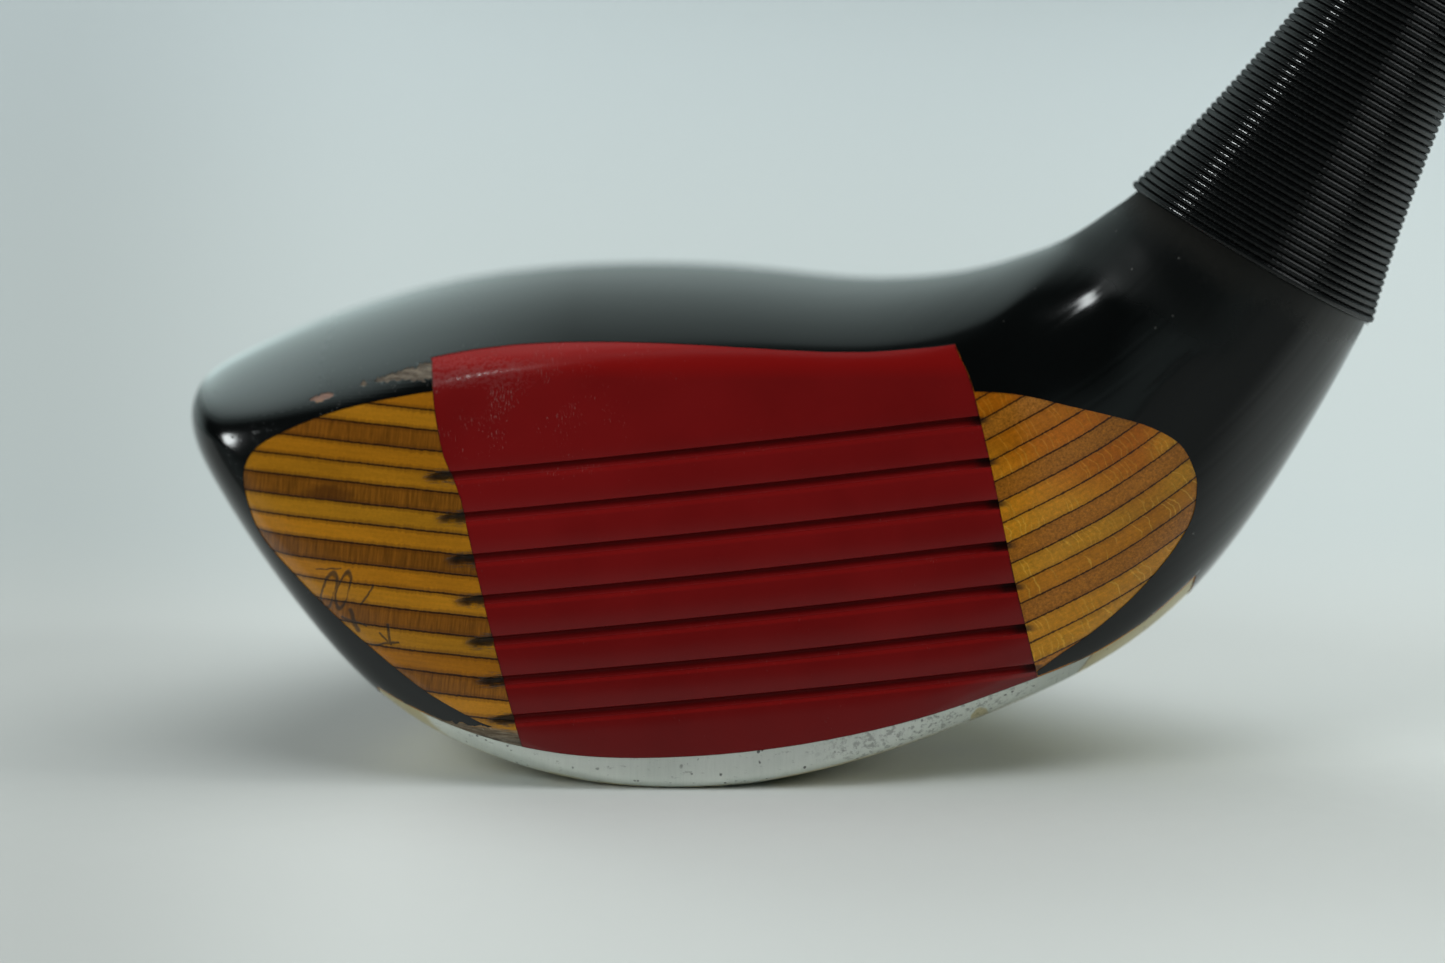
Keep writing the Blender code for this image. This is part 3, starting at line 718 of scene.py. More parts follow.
def scrawl_mask(mat):
    """Scrawled marks low on the toe."""
    x, _, z = mat.place
    pen_x = x + (mat.noise((x, z, 7), scale=0.8) - 0.5) * 0.5
    pen_z = z + (mat.noise((x, z, 17), scale=0.8) - 0.5) * 0.5
    pen = mat.noise((x, z, 3), scale=2.2, detail=3, rough=0.7)

    def stroke(x_start, z_start, x_end, z_end, width):
        run, rise = x_end - x_start, z_end - z_start
        dot = (pen_x - x_start) * run + (pen_z - z_start) * rise
        share = (dot / (run * run + rise * rise)).max(0).min(1)
        across = (pen_x - x_start - share * run).pow(2)
        away = (across + (pen_z - z_start - share * rise).pow(2)).sqrt()
        return (away + (pen - 0.5) * 0.16).step(width, width * 0.35)

    def loop(x_mid, z_mid, x_radius, z_radius, lean, width):
        right = (pen_x - x_mid - (pen_z - z_mid) * lean) / x_radius
        above = (pen_z - z_mid) / z_radius
        away = ((right * right + above * above).sqrt() - 1).abs() * x_radius
        opening = (right - 0.2).step(0.55, 0.95) * (above - 0.3).step(0, -0.4)
        return (away + (pen - 0.5) * 0.14).step(width, width * 0.35) * (1 - opening)

    marks = [loop(*row) for row in SCRAWL_LOOPS] + [stroke(*row) for row in SCRAWL_STROKES]
    scrawl = marks[0]
    for mark in marks[1:]:
        scrawl = scrawl.max(mark)
    return scrawl * (pen * 0.5 + 0.6).min(1)


def maple_material():
    mat = Material("maple_laminate")
    x, y, z = mat.place
    level, along, turn = mat.ply()
    wobble = mat.noise((along * 0.35, level * 0.4, y * 0.2), detail=3) - 0.5
    swayed = level + wobble * 0.07
    ply = swayed.floor()
    part = swayed.fract()
    heel = turn.step(0.12, 0.45)
    cross = ((ply + 0.5) / 3).fract().under(1 / 3)
    tone = mat.rand(ply, seed=3.7)
    hue = mat.rand(ply, seed=9.1)

    # bent plies, fibres along them
    fibre = mat.noise((along * 0.22, level * 7, y * 0.5), detail=5, rough=0.6)
    figure = mat.noise((along * 0.10, level * 0.55, y * 0.1))
    pore = mat.noise((along * 1.6, level * 22, y * 1.6))
    orange, honey = (0.66, 0.235, 0.009), (0.74, 0.330, 0.018)
    light = mat.mix(hue, orange, honey)
    shades = (tone - 0.5) * 0.22 + (fibre - 0.5) * 0.42 + (figure - 0.5) * 0.55
    light = mat.scaled(light, shades + (pore - 0.5) * 0.16 + 0.98)

    # pale curved flecks where the plies bend up to the neck
    bend = along + (part - 0.5) * (part - 0.5) * 0.9
    bend = bend + (mat.noise((x * 0.8, z * 0.8, 0)) - 0.5) * 0.8
    slot = bend / 0.50 + mat.rand(ply, seed=5) * 7
    draw = mat.rand(slot.floor(), ply)
    jog = mat.rand(slot.floor(), ply + 40) - 0.5
    inside = (slot.fract() - 0.5 - jog * 0.5).abs()
    fleck = inside.step(0.17, 0.04) * draw.over(0.35) * heel
    fleck = fleck * mat.noise((x * 0.25, z * 0.25, 4)).step(0.34, 0.56)
    light = mat.mix(fleck * 0.50, light, (0.95, 0.56, 0.060))
    light = mat.scaled(light, heel * 0.16 + 0.78)
    # deeper orange where the clear coat pooled, by the top of the heel panel
    deep = (z - 31 + (x - 25) * 0.22).step(-4.5, 2.2) * heel * x.step(44, 40)
    light = mat.mix(deep * 0.85, light, mat.mix(1, light, (0.72, 0.45, 0.25), "MULTIPLY"))
    speck = mat.noise((along * 3.1, level * 5, y * 2), detail=3, rough=0.75)
    light = mat.scaled(light, (speck - 0.5) * (0.42 + heel * 0.60) + 1)

    # cross-grain plies: end grain shows as fine combing on the toe, as dots towards the neck
    comb = mat.noise((along * 4.2, level * 0.5, y * 0.7), detail=3, rough=0.65)
    dots = mat.noise((along * 4.6, level * 8, y * 3), rough=0.7)
    grain = mat.blend(heel, comb, dots)
    brown = mat.mix(hue, (0.265, 0.093, 0.008), (0.330, 0.122, 0.011))
    shades = (grain - 0.5) * 1.7 + (tone - 0.5) * 0.25 + (figure - 0.5) * 0.6 + 0.98
    brown = mat.scaled(brown, shades * (heel * 0.62 + 1))
    colour = mat.mix(cross, light, brown)

    # glue lines, ragged where end grain meets them
    rag = mat.noise((along * 3.2, ply * 3, y), detail=3, rough=0.7)
    edge = part.min(1 - part) * PLY_PITCH
    width = (rag - 0.5) * 0.24 + 0.085 - heel * 0.015
    glue = (edge - width).step(0.05, -0.035)
    fringe = (edge - rag * 0.65 - 0.02).step(0.10, -0.12) * (1 - heel * 0.6)
    colour = mat.mix(fringe * 0.40, colour, (0.12, 0.036, 0.005))
    colour = mat.mix(glue * 0.88, colour, (0.026, 0.010, 0.005))

    # stain in one cross-grain ply near the toe
    away = (((x + 34.6) / 2.7).pow(2) + ((z - 26) / 1.1).pow(2)).sqrt()
    blur = (mat.noise((x, z, 0), scale=0.9, detail=3) - 0.5) * 0.9
    stain = (away + blur).step(1.15, 0.45)
    colour = mat.mix(stain * 0.62 * cross, colour, (0.075, 0.024, 0.006))

    # saw overruns at the toe end of each score line, dirt feathering out of them
    gap, _ = mat.score()
    off_left, off_right = mat.insert_edges()
    feather = mat.noise((x * 0.8, z * 5.5, 2), detail=4, rough=0.7)
    spread = gap.abs() + off_left * 0.10 - (feather - 0.5) * 2.1
    smudge = spread.step(0.95, 0.25) * off_left.step(3.4 + 0.2, 2.2) * off_left.over(-0.5)
    smudge = smudge * (off_left + (feather - 0.5) * 3).step(3.6, 1.6)
    colour = mat.mix(smudge * 0.90, colour, (0.018, 0.013, 0.010))
    heel_dirt = gap.abs().step(0.42, 0.12) * off_right.step(1.3, 0.1) * off_right.over(-0.5)
    colour = mat.mix(heel_dirt * 0.8, colour, (0.02, 0.014, 0.01))

    scrawl = scrawl_mask(mat)
    colour = mat.mix(scrawl * 0.92, colour, (0.026, 0.022, 0.016))

    # bare, greyed wood: along the broken lacquer over the toe, and a strip over the sole plate
    top_bare = (z - 35.75 + (x + 25) * -0.16).step(0, 0.25) * x.under(-10)
    low_bare = (z - 5.55 - (x + 20) * -0.12 - (feather - 0.5) * 0.9).step(0.2, -0.35)
    bare = top_bare.max(low_bare * x.under(-9))
    dry = mat.noise((along * 0.6, level * 9, y * 0.8), detail=5, rough=0.7)
    greyed = mat.mix(dry.step(0.36, 0.66), (0.075, 0.062, 0.046), (0.27, 0.235, 0.175))
    pink_spot = (((x + 35.4) / 1.3).pow(2) + ((z - 34.4) / 0.7).pow(2)).step(1.4, 0.6)
    pink = mat.mix(pink_spot, greyed, (0.36, 0.22, 0.17))
    greyed = mat.mix(top_bare, greyed, pink)
    colour = mat.mix(bare * 0.93, colour, greyed)
    nicks = mat.noise((x * 3 + z * 2.2, z * 0.7 - x * 0.5, 1), detail=3, rough=0.8)
    nicks = nicks.step(0.66, 0.72) * bare
    colour = mat.mix(nicks * 0.6, colour, (0.55, 0.52, 0.42))

    # fine handling scratches in the clear coat
    hair = mat.noise((x * 0.6 + z * 5, z * 0.3 - x * 0.9, 5), detail=3, rough=0.75)
    hair = hair.step(0.70, 0.76)
    height = (
        glue * -0.008 + fringe * -0.003 + (grain - 0.5) * cross * 0.010 + (fibre - 0.5) * 0.010
        + smudge * (feather - 0.5) * 0.12 + bare * (dry - 0.5) * 0.16 - scrawl * 0.02
        + fleck * 0.002 + (mat.noise((x, y, z), scale=0.35) - 0.5) * 0.02
    )
    return mat.surface(
        colour=colour,
        rough=0.17 + bare * 0.45 + smudge * 0.3 + hair * 0.2 + (fibre - 0.5) * 0.08,
        height=height,
        coat=0.45 - bare * 0.45,
        coat_rough=0.10 + hair * 0.25,
        spec=0.4,
    )


def lacquer_material():
    mat = Material("black_lacquer")
    x, y, z = mat.place
    normal_z = mat.normal_z()
    level, _, turn = mat.ply()
    up_neck = (x - NECK_RING[0]) * AXIS.x + (z - NECK_RING[2]) * AXIS.z
    soft = mat.noise((x, y, z), scale=0.12, detail=4)
    fine = mat.noise((x, y, z), scale=1.9, detail=4, rough=0.7)

    # dust caught below the thread, and a dull bloom over the crown
    dust = (up_neck + (soft - 0.5) * 4 + (fine - 0.5) * 2.5).step(-3.2, -0.4)
    crown = normal_z.step(0.35, 0.8) * x.step(38, 26)
    streak = mat.noise((x * 0.10, y * 0.55, 6), detail=4, rough=0.6, distort=0.6)
    wipe = mat.noise((x * 0.035 + y * 0.05, y * 0.16 - x * 0.02, 2), detail=3, rough=0.55)
    bloom = crown * (streak * 0.6 + wipe * 0.6 - 0.1)
    colour = mat.mix(dust * 0.45, (0.0032, 0.0040, 0.0040), (0.026, 0.024, 0.020))
    # haze of fine wear over the toe half of the crown, with a painted sheen: its colour brightens
    # as the surface is seen at a lower angle
    out = (x * -1 - 12).max(0)
    thin = (out * 0.0008 + out * out * 0.00003) * normal_z.step(0.52, 0.90)
    thin = thin * (0.72 + streak * 0.25 + wipe * 0.3)
    thin = (thin / mat.facing().max(0.16)).min(0.34) * 1.75
    wear_haze_and_painted_sheen = mat.scaled((1.28, 1.55, 1.53), thin)
    colour = mat.mix(1, colour, wear_haze_and_painted_sheen, "ADD")
    colour = mat.mix(bloom * 0.30, colour, (0.012, 0.015, 0.015))
    speck = mat.cells((x, y, z), scale=0.42).step(0.085, 0.03)
    speck = speck * mat.noise((x, y, z), scale=0.2, detail=1).step(0.5, 0.6)
    colour = mat.mix(speck * 0.5, colour, (0.16, 0.16, 0.15))

    # scuffs round the toe point, where the club gets knocked
    toe = x.step(-30, -43)
    scuff = mat.noise((x * 2.4 + z * 3.1, z * 0.9 - x * 0.8, y * 1.2), detail=4, rough=0.75)
    scuff = scuff.step(0.60, 0.70) * toe * mat.noise((x, y, z), scale=0.25).step(0.42, 0.58)
    rim = (x + 25).abs().step(13, 9) * (z - 35.5).abs().step(5, 2) * y.under(4)
    knocks = mat.noise((x * 1.6, z * 1.1, y), detail=4, rough=0.8).step(0.60, 0.66) * rim
    hair = mat.noise((x * 0.5 + z * 4, z * 0.25 - x * 0.6, y * 0.9), detail=3, rough=0.75)
    hair = hair.step(0.71, 0.76)
    colour = mat.mix(knocks * 0.5, colour, (0.05, 0.052, 0.048))
    colour = mat.mix(scuff * 0.20, colour, (0.10, 0.11, 0.11))

    # the laminations telegraph faintly through the finish
    edge = (level.fract().min(1 - level.fract()) * PLY_PITCH).step(0.45, 0)
    ghost = edge * turn.step(0.3, 0.6)
    dull = x.step(-33, -42) * normal_z.step(0.60, 0.78)
    veil = (up_neck + (soft - 0.5) * 3).step(-9.5, -5.5) * x.step(53, 44)
    rough = (
        0.11 + veil * 0.36 + dull * 0.40 + bloom * 0.16 + dust * 0.30 + scuff * 0.32
        + hair * 0.12 + knocks * 0.3 + (fine - 0.5) * 0.05
    )
    height = (
        (soft - 0.5) * 0.03 + (fine - 0.5) * 0.0018 - ghost * 0.006 - scuff * 0.006
        - hair * 0.0015 + knocks * (fine - 0.5) * 0.06 + dust * (fine - 0.5) * 0.012
        + speck * 0.01
    )
    return mat.surface(colour=colour, rough=rough, height=height, spec=0.5)


def insert_material():
    mat = Material("red_insert")
    x, y, z = mat.place
    gap, line = mat.score()
    off_left, off_right = mat.insert_edges()
    soft = mat.noise((x, y, z), scale=0.10, detail=3)
    fine = mat.noise((x * 1.3, z * 1.3, y), detail=4, rough=0.7)
    colour = mat.mix(soft.step(0.3, 0.7), (0.275, 0.0095, 0.0098), (0.315, 0.0108, 0.0112))
    # painted light and shade: the red is darker low on the face and lighter towards its top, which
    # faces the light
    colour = mat.scaled(colour, z.step(0, 28) * 0.30 + 0.57)
    # painted highlight: a brighter red line along the lower lip of each score line
    painted_lip_highlight = (gap + 0.66).abs().step(0.26, 0.06) * (fine * 0.7 + 0.4)
    colour = mat.mix(painted_lip_highlight * 0.35, colour, (0.46, 0.012, 0.010))

    # ball scars: short pale strokes across the score lines, thickest high on the toe side
    swing = (mat.noise((x * 0.22, z * 0.22, 8)) - 0.5) * 5
    stroke = mat.noise((x * 9.5 + swing * 2, z * 1.5 + x * 0.5, 3), detail=4, rough=0.72)
    patch = mat.noise((x * 0.28, z * 0.33, 1), detail=3)
    upper_left = x.step(6, -20) * z.step(24, 35)
    below = gap.step(-1.5, -0.35) * gap.under(-0.2)
    where = (upper_left * 0.9 + below * 0.45 + 0.10) * patch.step(0.36, 0.60)
    scars = (stroke + where * 0.16).step(0.70, 0.80) * where.step(0.05, 0.45)
    dots = mat.cells((x * 1.2, z * 0.8, 0), scale=1.5) + (fine - 0.5) * 0.15
    fleck = dots.step(0.12, 0.05) * patch.step(0.45, 0.62)
    pale = (scars * 0.62 + fleck * 0.30 * (upper_left * 0.8 + 0.25)).min(1)
    colour = mat.mix(pale * 0.55, colour, (0.50, 0.30, 0.27))

    # dirt in the saw cuts, darker on their upper side as painted shade, packed black at their heel
    # ends
    deep = gap.abs().step(0.47, 0.36)
    cut_dirt_and_painted_shade = deep * (fine * 0.5 + 0.45) * gap.step(-0.30, 0.02)
    # painted light: a lighter red over the rolled top edge of the insert
    colour = mat.mix(z.step(36.4, 38.2) * 0.8, colour, (0.37, 0.0075, 0.0065))
    packed = deep * (off_right + mat.rand(line, seed=2) * 0.8).step(-1.3, -0.1)
    colour = mat.mix(cut_dirt_and_painted_shade * 0.60, colour, (0.050, 0.0015, 0.002))
    colour = mat.mix(packed * 0.75, colour, (0.012, 0.009, 0.008))
    edge_dirt = off_right.step(-0.22, 0).max(off_left.step(-0.16, 0)) * fine.step(0.4, 0.6)
    colour = mat.mix(edge_dirt * 0.7, colour, (0.02, 0.008, 0.007))

    # the top edge is duller, and breaks up the gleam at its toe corner
    rolled = (z - 37.2).step(0, 1.6)
    rough = 0.20 + (soft - 0.5) * 0.10 + pale * 0.35 + deep * 0.25 + rolled * 0.05
    rough = rough + (fine - 0.5) * 0.06
    gleam = (z - 37).abs().step(1.6, 0.8) * x.step(-14, -19)
    broken = mat.noise((x * 2.6, z * 2.6, y * 2.6), detail=3, rough=0.8).step(0.47, 0.56)
    rough = rough + gleam * broken * 0.35
    height = (
        (mat.noise((x, y, z), scale=0.5, detail=3) - 0.5) * 0.012
        - scars * 0.014 - fleck * 0.012 + (fine - 0.5) * 0.003
    )
    return mat.surface(colour=colour, rough=rough, height=height, spec=0.5 - deep * 0.35)


def plate_material():
    mat = Material("worn_aluminium")
    x, y, z = mat.place
    normal_z = mat.normal_z()
    # pits, short dashes and a pitted upper edge at the heel side
    crumble = mat.noise((x, y, z), scale=1.5, detail=5, rough=0.7)
    pits = mat.cells((x * 1.2, y * 1.2, z * 1.2), scale=0.75)
    pits = (pits + (crumble - 0.5) * 0.45).step(0.17, 0.06)
    pits = pits * mat.noise((x, y, z), scale=0.22).step(0.36, 0.54)
    dash = mat.noise((x * 3.3, z * 1.1 + y * 0.6, 2), detail=3, rough=0.75)
    dash = dash.step(0.69, 0.73) * normal_z.over(-0.85)
    upper = (z - 2.2).step(0, 0.6) * (crumble - 0.5).step(0, 0.12)
    upper = upper * x.step(8, 16) * (1 - x.step(30, 32))
    pits = pits.max(dash * 0.9).max(upper * 0.5)
    drag = mat.noise((x * 3.4, y * 0.10 + z * 0.3, 0), detail=4, rough=0.7)
    patch = mat.noise((x, y, z), scale=0.16, detail=3)
    bright = mat.mix(patch.step(0.3, 0.7), (0.72, 0.765, 0.705), (0.90, 0.93, 0.865))
    dull = mat.mix(drag, (0.58, 0.62, 0.57), (0.87, 0.90, 0.84))
    colour = mat.mix(0.55, bright, dull)

    # yellowed lacquer that survives away from the rubbed front edge
    wave = (crumble - 0.5) * 1.3 + (patch - 0.5) * 1
    line = z - 5.5 - (x - 27) * 0.30 - (x - 34.5).max(0) * 1.7 + wave
    rim = line.step(0.25, -0.15) * (x + wave * 1.5).step(25.2, 26)
    blob = (((x - 26) / 0.9).pow(2) + ((z - 5.6) / 1.3).pow(2) + wave).step(1.1, 0.7)
    rim = rim.max(blob)
    toe_rim = (x + 23.3 + (z - 3.5) * 0.9 + (crumble - 0.5) * 1.4).step(0.3, -0.6)
    under = normal_z.step(-0.80, -0.93) * (patch + (crumble - 0.5) * 0.5).step(0.34, 0.50)
    varnish = rim.max(toe_rim).max(under)
    cream = mat.mix(patch, (0.46, 0.38, 0.17), (0.62, 0.55, 0.31))
    # painted shade: the plate is darker towards its heel end
    colour = mat.scaled(colour, 1 - x.step(28, 38) * 0.30)
    brown_edge = (line - 0.1).abs().step(0.30, 0.05) * (x + wave * 1.5).step(25.2, 26)
    colour = mat.mix(varnish * 0.9, colour, cream)
    colour = mat.mix(brown_edge * 0.6, colour, (0.22, 0.15, 0.05))
    colour = mat.mix(pits * 0.85, colour, (0.045, 0.045, 0.042))
    grime = mat.noise((x * 0.9, y * 0.9, z * 2.2), detail=4, rough=0.75).step(0.58, 0.72)
    grime = grime * (1 - varnish)
    colour = mat.mix(grime * 0.45, colour, (0.13, 0.135, 0.125))
    height = pits * -1 * 0.05 + (drag - 0.5) * 0.016 + (crumble - 0.5) * 0.02
    return mat.surface(
        colour=colour,
        rough=0.46 + (drag - 0.5) * 0.25 + pits * 0.3 + grime * 0.2 - varnish * 0.10,
        metal=(1 - varnish * 0.75 - pits * 0.6 - grime * 0.4).max(0.1) * 0.38,
        height=height - grime * 0.006 + varnish * 0.02,
    )


def screw_material():
    mat = Material("zinc_screw")
    x, y, z = mat.place
    mottle = mat.noise((x, y, z), scale=1.4, detail=4, rough=0.7)
    ring = (x * x + y * y).sqrt()
    turned_marks = (ring * 9).sin() * 0.5 + 0.5
    colour = mat.mix(mottle.step(0.35, 0.7), (0.42, 0.40, 0.35), (0.62, 0.60, 0.55))
    rust = mat.noise((x, y, z), scale=0.7, detail=4, rough=0.8).step(0.60, 0.72)
    return mat.surface(
        colour=mat.mix(rust * 0.7, colour, (0.16, 0.075, 0.03)),
        rough=0.34 + mottle * 0.2 + rust * 0.3,
        metal=0.9 - rust * 0.6,
        height=turned_marks * 0.004 + mottle * 0.01,
    )


def thread_material():
    mat = Material("waxed_thread")
    strand = mat.node("Attribute", output="Fac", attribute_name="strand")
    x, y, z = mat.place
    mottle = mat.noise((x, y, z), scale=1.1, detail=4, rough=0.7)
    twist = strand.sin() * 0.5 + 0.5
    lint = mat.noise((x, y, z * 3), scale=2.6, detail=3, rough=0.8).step(0.66, 0.76)
    dark, worn = (0.0030, 0.0036, 0.0038), (0.0065, 0.0074, 0.0076)
    colour = mat.mix(mottle.step(0.35, 0.7), dark, worn)
    edge_on = 1 - mat.facing()
    return mat.surface(
        colour=mat.mix(lint * 0.30, colour, (0.045, 0.048, 0.048)),
        rough=0.13 + (mottle - 0.5) * 0.10 + lint * 0.3 + edge_on * edge_on * 0.45,
        height=twist * 0.005 + (mottle - 0.5) * 0.004,
        spec=edge_on.step(0.9, 0.3) * 0.42 + 0.06,
    )


def plastic_material():
    mat = Material("black_plastic_moulded")
    x, y, z = mat.place
    mottle = mat.noise((x, y, z), scale=0.8, detail=4, rough=0.6)
    turn_mark = (z * 5.2).sin()
    hair = mat.noise((x * 2 + y * 3, z * 0.5, 1), detail=3, rough=0.75).step(0.68, 0.76)
    return mat.surface(
        colour=mat.mix(mottle, (0.008, 0.008, 0.009), (0.014, 0.014, 0.015)),
        rough=0.20 + (mottle - 0.5) * 0.15 + hair * 0.25,
        height=turn_mark * 0.0012 + (mottle - 0.5) * 0.006 - hair * 0.003,
    )


def chrome_material():
    mat = Material("chromed_steel")
    x, y, z = mat.place
    drawn = mat.noise((x * 0.7, y * 0.7, z * 0.05), detail=4, rough=0.65)
    wipe = mat.noise((x * 1.4, y * 1.4, z * 0.9), scale=0.6, detail=3, rough=0.7)
    pit = mat.cells((x, y, z * 0.6), scale=0.55).step(0.07, 0.03)
    pit = pit * mat.noise((x, y, z), scale=0.05).step(0.5, 0.62)
    return mat.surface(
        colour=mat.mix(pit * 0.8, (0.66, 0.67, 0.685), (0.17, 0.11, 0.07)),
        rough=0.055 + (wipe - 0.4) * 0.12 + pit * 0.4,
        metal=1 - pit * 0.5,
        height=(drawn - 0.5) * 0.006 - pit * 0.02,
    )


def rubber_material():
    mat = Material("grip_rubber")
    x, y, z = mat.place
    mottle = mat.noise((x, y, z), scale=1.6, detail=5, rough=0.7)
    worn = mat.noise((x, y, z * 0.4), scale=0.10, detail=3)
    return mat.surface(
        colour=mat.mix(worn.step(0.35, 0.7), (0.012, 0.012, 0.0125), (0.030, 0.030, 0.029)),
        rough=0.62 + (mottle - 0.5) * 0.25 - worn * 0.12,
        height=(mottle - 0.5) * 0.05,
        spec=0.35,
    )


def lead_material():
    mat = Material("cast_lead")
    mottle = mat.noise(mat.place, scale=0.9, detail=5, rough=0.7)
    return mat.surface(
        colour=mat.mix(mottle, (0.16, 0.17, 0.19), (0.30, 0.31, 0.33)),
        rough=0.5 + mottle * 0.2,
        metal=0.9,
        height=mottle * 0.08,
    )


def paper_material():
    mat = Material("paper_tape_crepe")
    x, y, z = mat.place
    crepe = mat.noise((x * 0.6, y * 0.6, z * 3), detail=4, rough=0.7)
    colour = mat.mix(crepe, (0.50, 0.43, 0.29), (0.68, 0.61, 0.46))
    return mat.surface(colour=colour, rough=0.8, height=crepe * 0.05)


BACKDROP = (0.565, 0.645, 0.635)


def floor_material():
    mat = Material("pale_floor")
    x, y, z = mat.place
    seen = mat.seen()
    cloth = mat.noise((x, y, z), scale=0.012, detail=3)
    weave = mat.noise((x, y, z), scale=0.35, detail=3)
    # even tone seen from the front, with painted shade a little darker to the left and a little
    # painted light to the right; across is the sideways slope of the line of sight, with the camera
    # at y = -414.5
    across = x / (y + 414.5).max(60) * 4500
    side = across.step(-700, -300) * 0.20 + across.step(150, 760) * 0.09 + 0.795
    around_club = y.step(-330, -90) * y.step(2400, 1100)
    side = (side - 0.95) * around_club + 0.95
    near = mat.mix(cloth, (0.675, 0.715, 0.690), (0.710, 0.745, 0.720))
    far = mat.mix(y.step(120, 900), (0.615, 0.675, 0.665), (0.590, 0.662, 0.668))
    sweep = (y + (cloth - 0.5) * 30).step(40, 130)
    colour = mat.mix(sweep, near, far)
    colour = mat.scaled(colour, ((weave - 0.5) * 0.03 + 1) * side)
    # painted shade: in front of the club the floor is dark to everything but the camera
    ahead = y.step(-8, -75)
    painted_shade_ahead = mat.mix(ahead * 0.72, colour, (0.06, 0.066, 0.066))
    colour = mat.mix(seen, painted_shade_ahead, colour)
    # far off, the floor melts into the backdrop
    far_off = (x * x + y * y).sqrt().step(1250, 2500) * seen
    colour = mat.mix(far_off, colour, (0, 0, 0))
    return mat.surface(colour=colour, rough=0.85, spec=0.1, glow=BACKDROP, glow_strength=far_off)


MAPLE = maple_material()
LACQUER = lacquer_material()
RED = insert_material()
ALUMINIUM = plate_material()
ZINC = screw_material()
THREAD_MAT = thread_material()
PLASTIC = plastic_material()
CHROME = chrome_material()
RUBBER = rubber_material()
LEAD = lead_material()
PAPER = paper_material()


def cover(obj, material):
    obj.data.materials.clear()
    obj.data.materials.append(material)


def dress(obj, material, node):
    """Gives the piece its material, hangs it on the root body and hides the CAD part it replaces.
    """
    cover(obj, material)
    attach(obj, "root")
    if node:
        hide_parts(node)


# ---------------------------------------------------------------- the head
def solid_mesh(name, grid):
    mesh = mesh_from(name, *shell(grid))
    outwards(mesh)
    return mesh


def screw_frames(blank):
    """Where each screw stands: local Z is the sole's inward normal."""
    bpy.context.view_layer.update()
    surface = BVHTree.FromObject(blank, bpy.context.evaluated_depsgraph_get())
    frames = {}
    for label, (x, y, spin) in SCREWS.items():
        below = Vector((x, y - SOLE_REST_Y, -50)) * MM
        hit, normal, _, _ = surface.ray_cast(below, Vector((0, 0, 1)))
        inward = -normal.normalized()
        lean = Vector((0, 0, 1)).rotation_difference(inward).to_matrix().to_4x4()
        place = Matrix.Translation(hit + inward * 0.25 * MM) @ lean
        frames[label] = place @ Matrix.Rotation(radians(spin), 4, "Z")
    return frames


def build_plies(blank, plate_bed, sinks):
    """The wood, hollowed and with the saw overruns in it, then sliced into plies."""
    insert_bed = insert_block("insert_bed", 0.02)
    bore = cutter(rod("bore_cut", [(BORE_END, BORE_R), (NECK_TOP + 6, BORE_R)], 32))
    wood = cutter(copy_of(blank, "wood_block"))
    overruns = []
    for i in range(SCORE_LINES):
        low = SCORE_LOW + SCORE_PITCH * i
        edge = insert_toe_edge(low - SCORE_SLOPE * 22)
        overruns.append(groove(f"overrun_{i}", low, edge - SCORE_OVERRUN, edge + 1.2, taper=1.6))
    carve(wood, [plate_bed, insert_bed, bore, *overruns, *sinks])

    joints = [PLY_R0 + PLY_PITCH * k for k in range(PLY_FIRST, PLY_LAST + 1)]
    edges = [PLY_INNERMOST, *joints, PLY_OUTERMOST]
    for i in range(len(edges) - 1):
        inner = edges[i] + (PLY_GAP if i else 0)
        outer = edges[i + 1] - (PLY_GAP if i + 2 < len(edges) else 0)
        slab = ply_slab(inner, outer)
        ply = carve(copy_of(wood, f"maple_ply_{i + 1:02d}"), [slab], "INTERSECT")
        bpy.data.objects.remove(slab)
        shade(ply.data, 28)
        dress(ply, MAPLE, f"wood_ply_{i + 1:02d}")


def build_insert(plate_bed):
    grid = pillowed(head_grid(stations_to(), (170, 40, 40, 120)))
    insert = link("red_face_insert", solid_mesh("insert", grid))
    carve(insert, [insert_block("insert_cut", 0)], "INTERSECT")
    scores = [
        groove(f"score_{i}", SCORE_LOW + SCORE_PITCH * i, -34, 40) for i in range(SCORE_LINES)
    ]
    carve(insert, [plate_bed, *scores])
    shade(insert.data, 30)
    dress(insert, RED, "face_insert")


def build_plate(blank, sinks):
    plate = copy_of(blank, "aluminium_sole_plate")
    carve(plate, [plate_block("plate_cut", 0)], "INTERSECT")
    carve(plate, sinks)
    shade(plate.data, 30)
    dress(plate, ALUMINIUM, "sole_plate")


def build_lacquer():
    """A thin black skin with openings for the panels, insert, plate and chips."""
    outer = pushed(head_grid(stations_to(step=0.06), (80, 52, 52, 70)), COAT)
    inner = pushed(head_grid(stations_to(17.9, step=0.2), (30, 20, 20, 30)), COAT_INSIDE)
    points, faces = shell(outer)
    inner_points, inner_faces = shell(inner)
    count = len(points)
    faces += [tuple(count + i for i in reversed(face)) for face in inner_faces]
    mesh = mesh_from("skin", np.vstack([points, inner_points]), faces)
    outwards(mesh, recalculate=False)
    skin = link("black_lacquer_skin", mesh)

    openings = [
        plate_block("plate_opening", 0.20),
        insert_opening("insert_opening", 0.06),
        prism("toe_panel", smooth_line(TOE_PANEL), -25, 22),
        prism("heel_panel", HEEL_PANEL_SIDE + smooth_line(HEEL_PANEL), -25, 15),
    ]
    for name, (outline, amount, seed) in CHIPS.items():
        openings.append(prism(name, ragged(outline, amount, seed), -25, 20))
    for opening in openings:
        carve(skin, [opening])

    # the finish is cut off at the toe so that the toe can be lit by itself
    toe_box = prism("toe_box", [(-70, -20), (-33, -20), (-33, 80), (-70, 80)], -40, 100)
    toe_skin = carve(copy_of(skin, "black_lacquer_toe"), [toe_box], "INTERSECT")
    carve(skin, [toe_box])
    for part in (skin, toe_skin):
        shade(part.data, 38)
        dress(part, LACQUER, None)


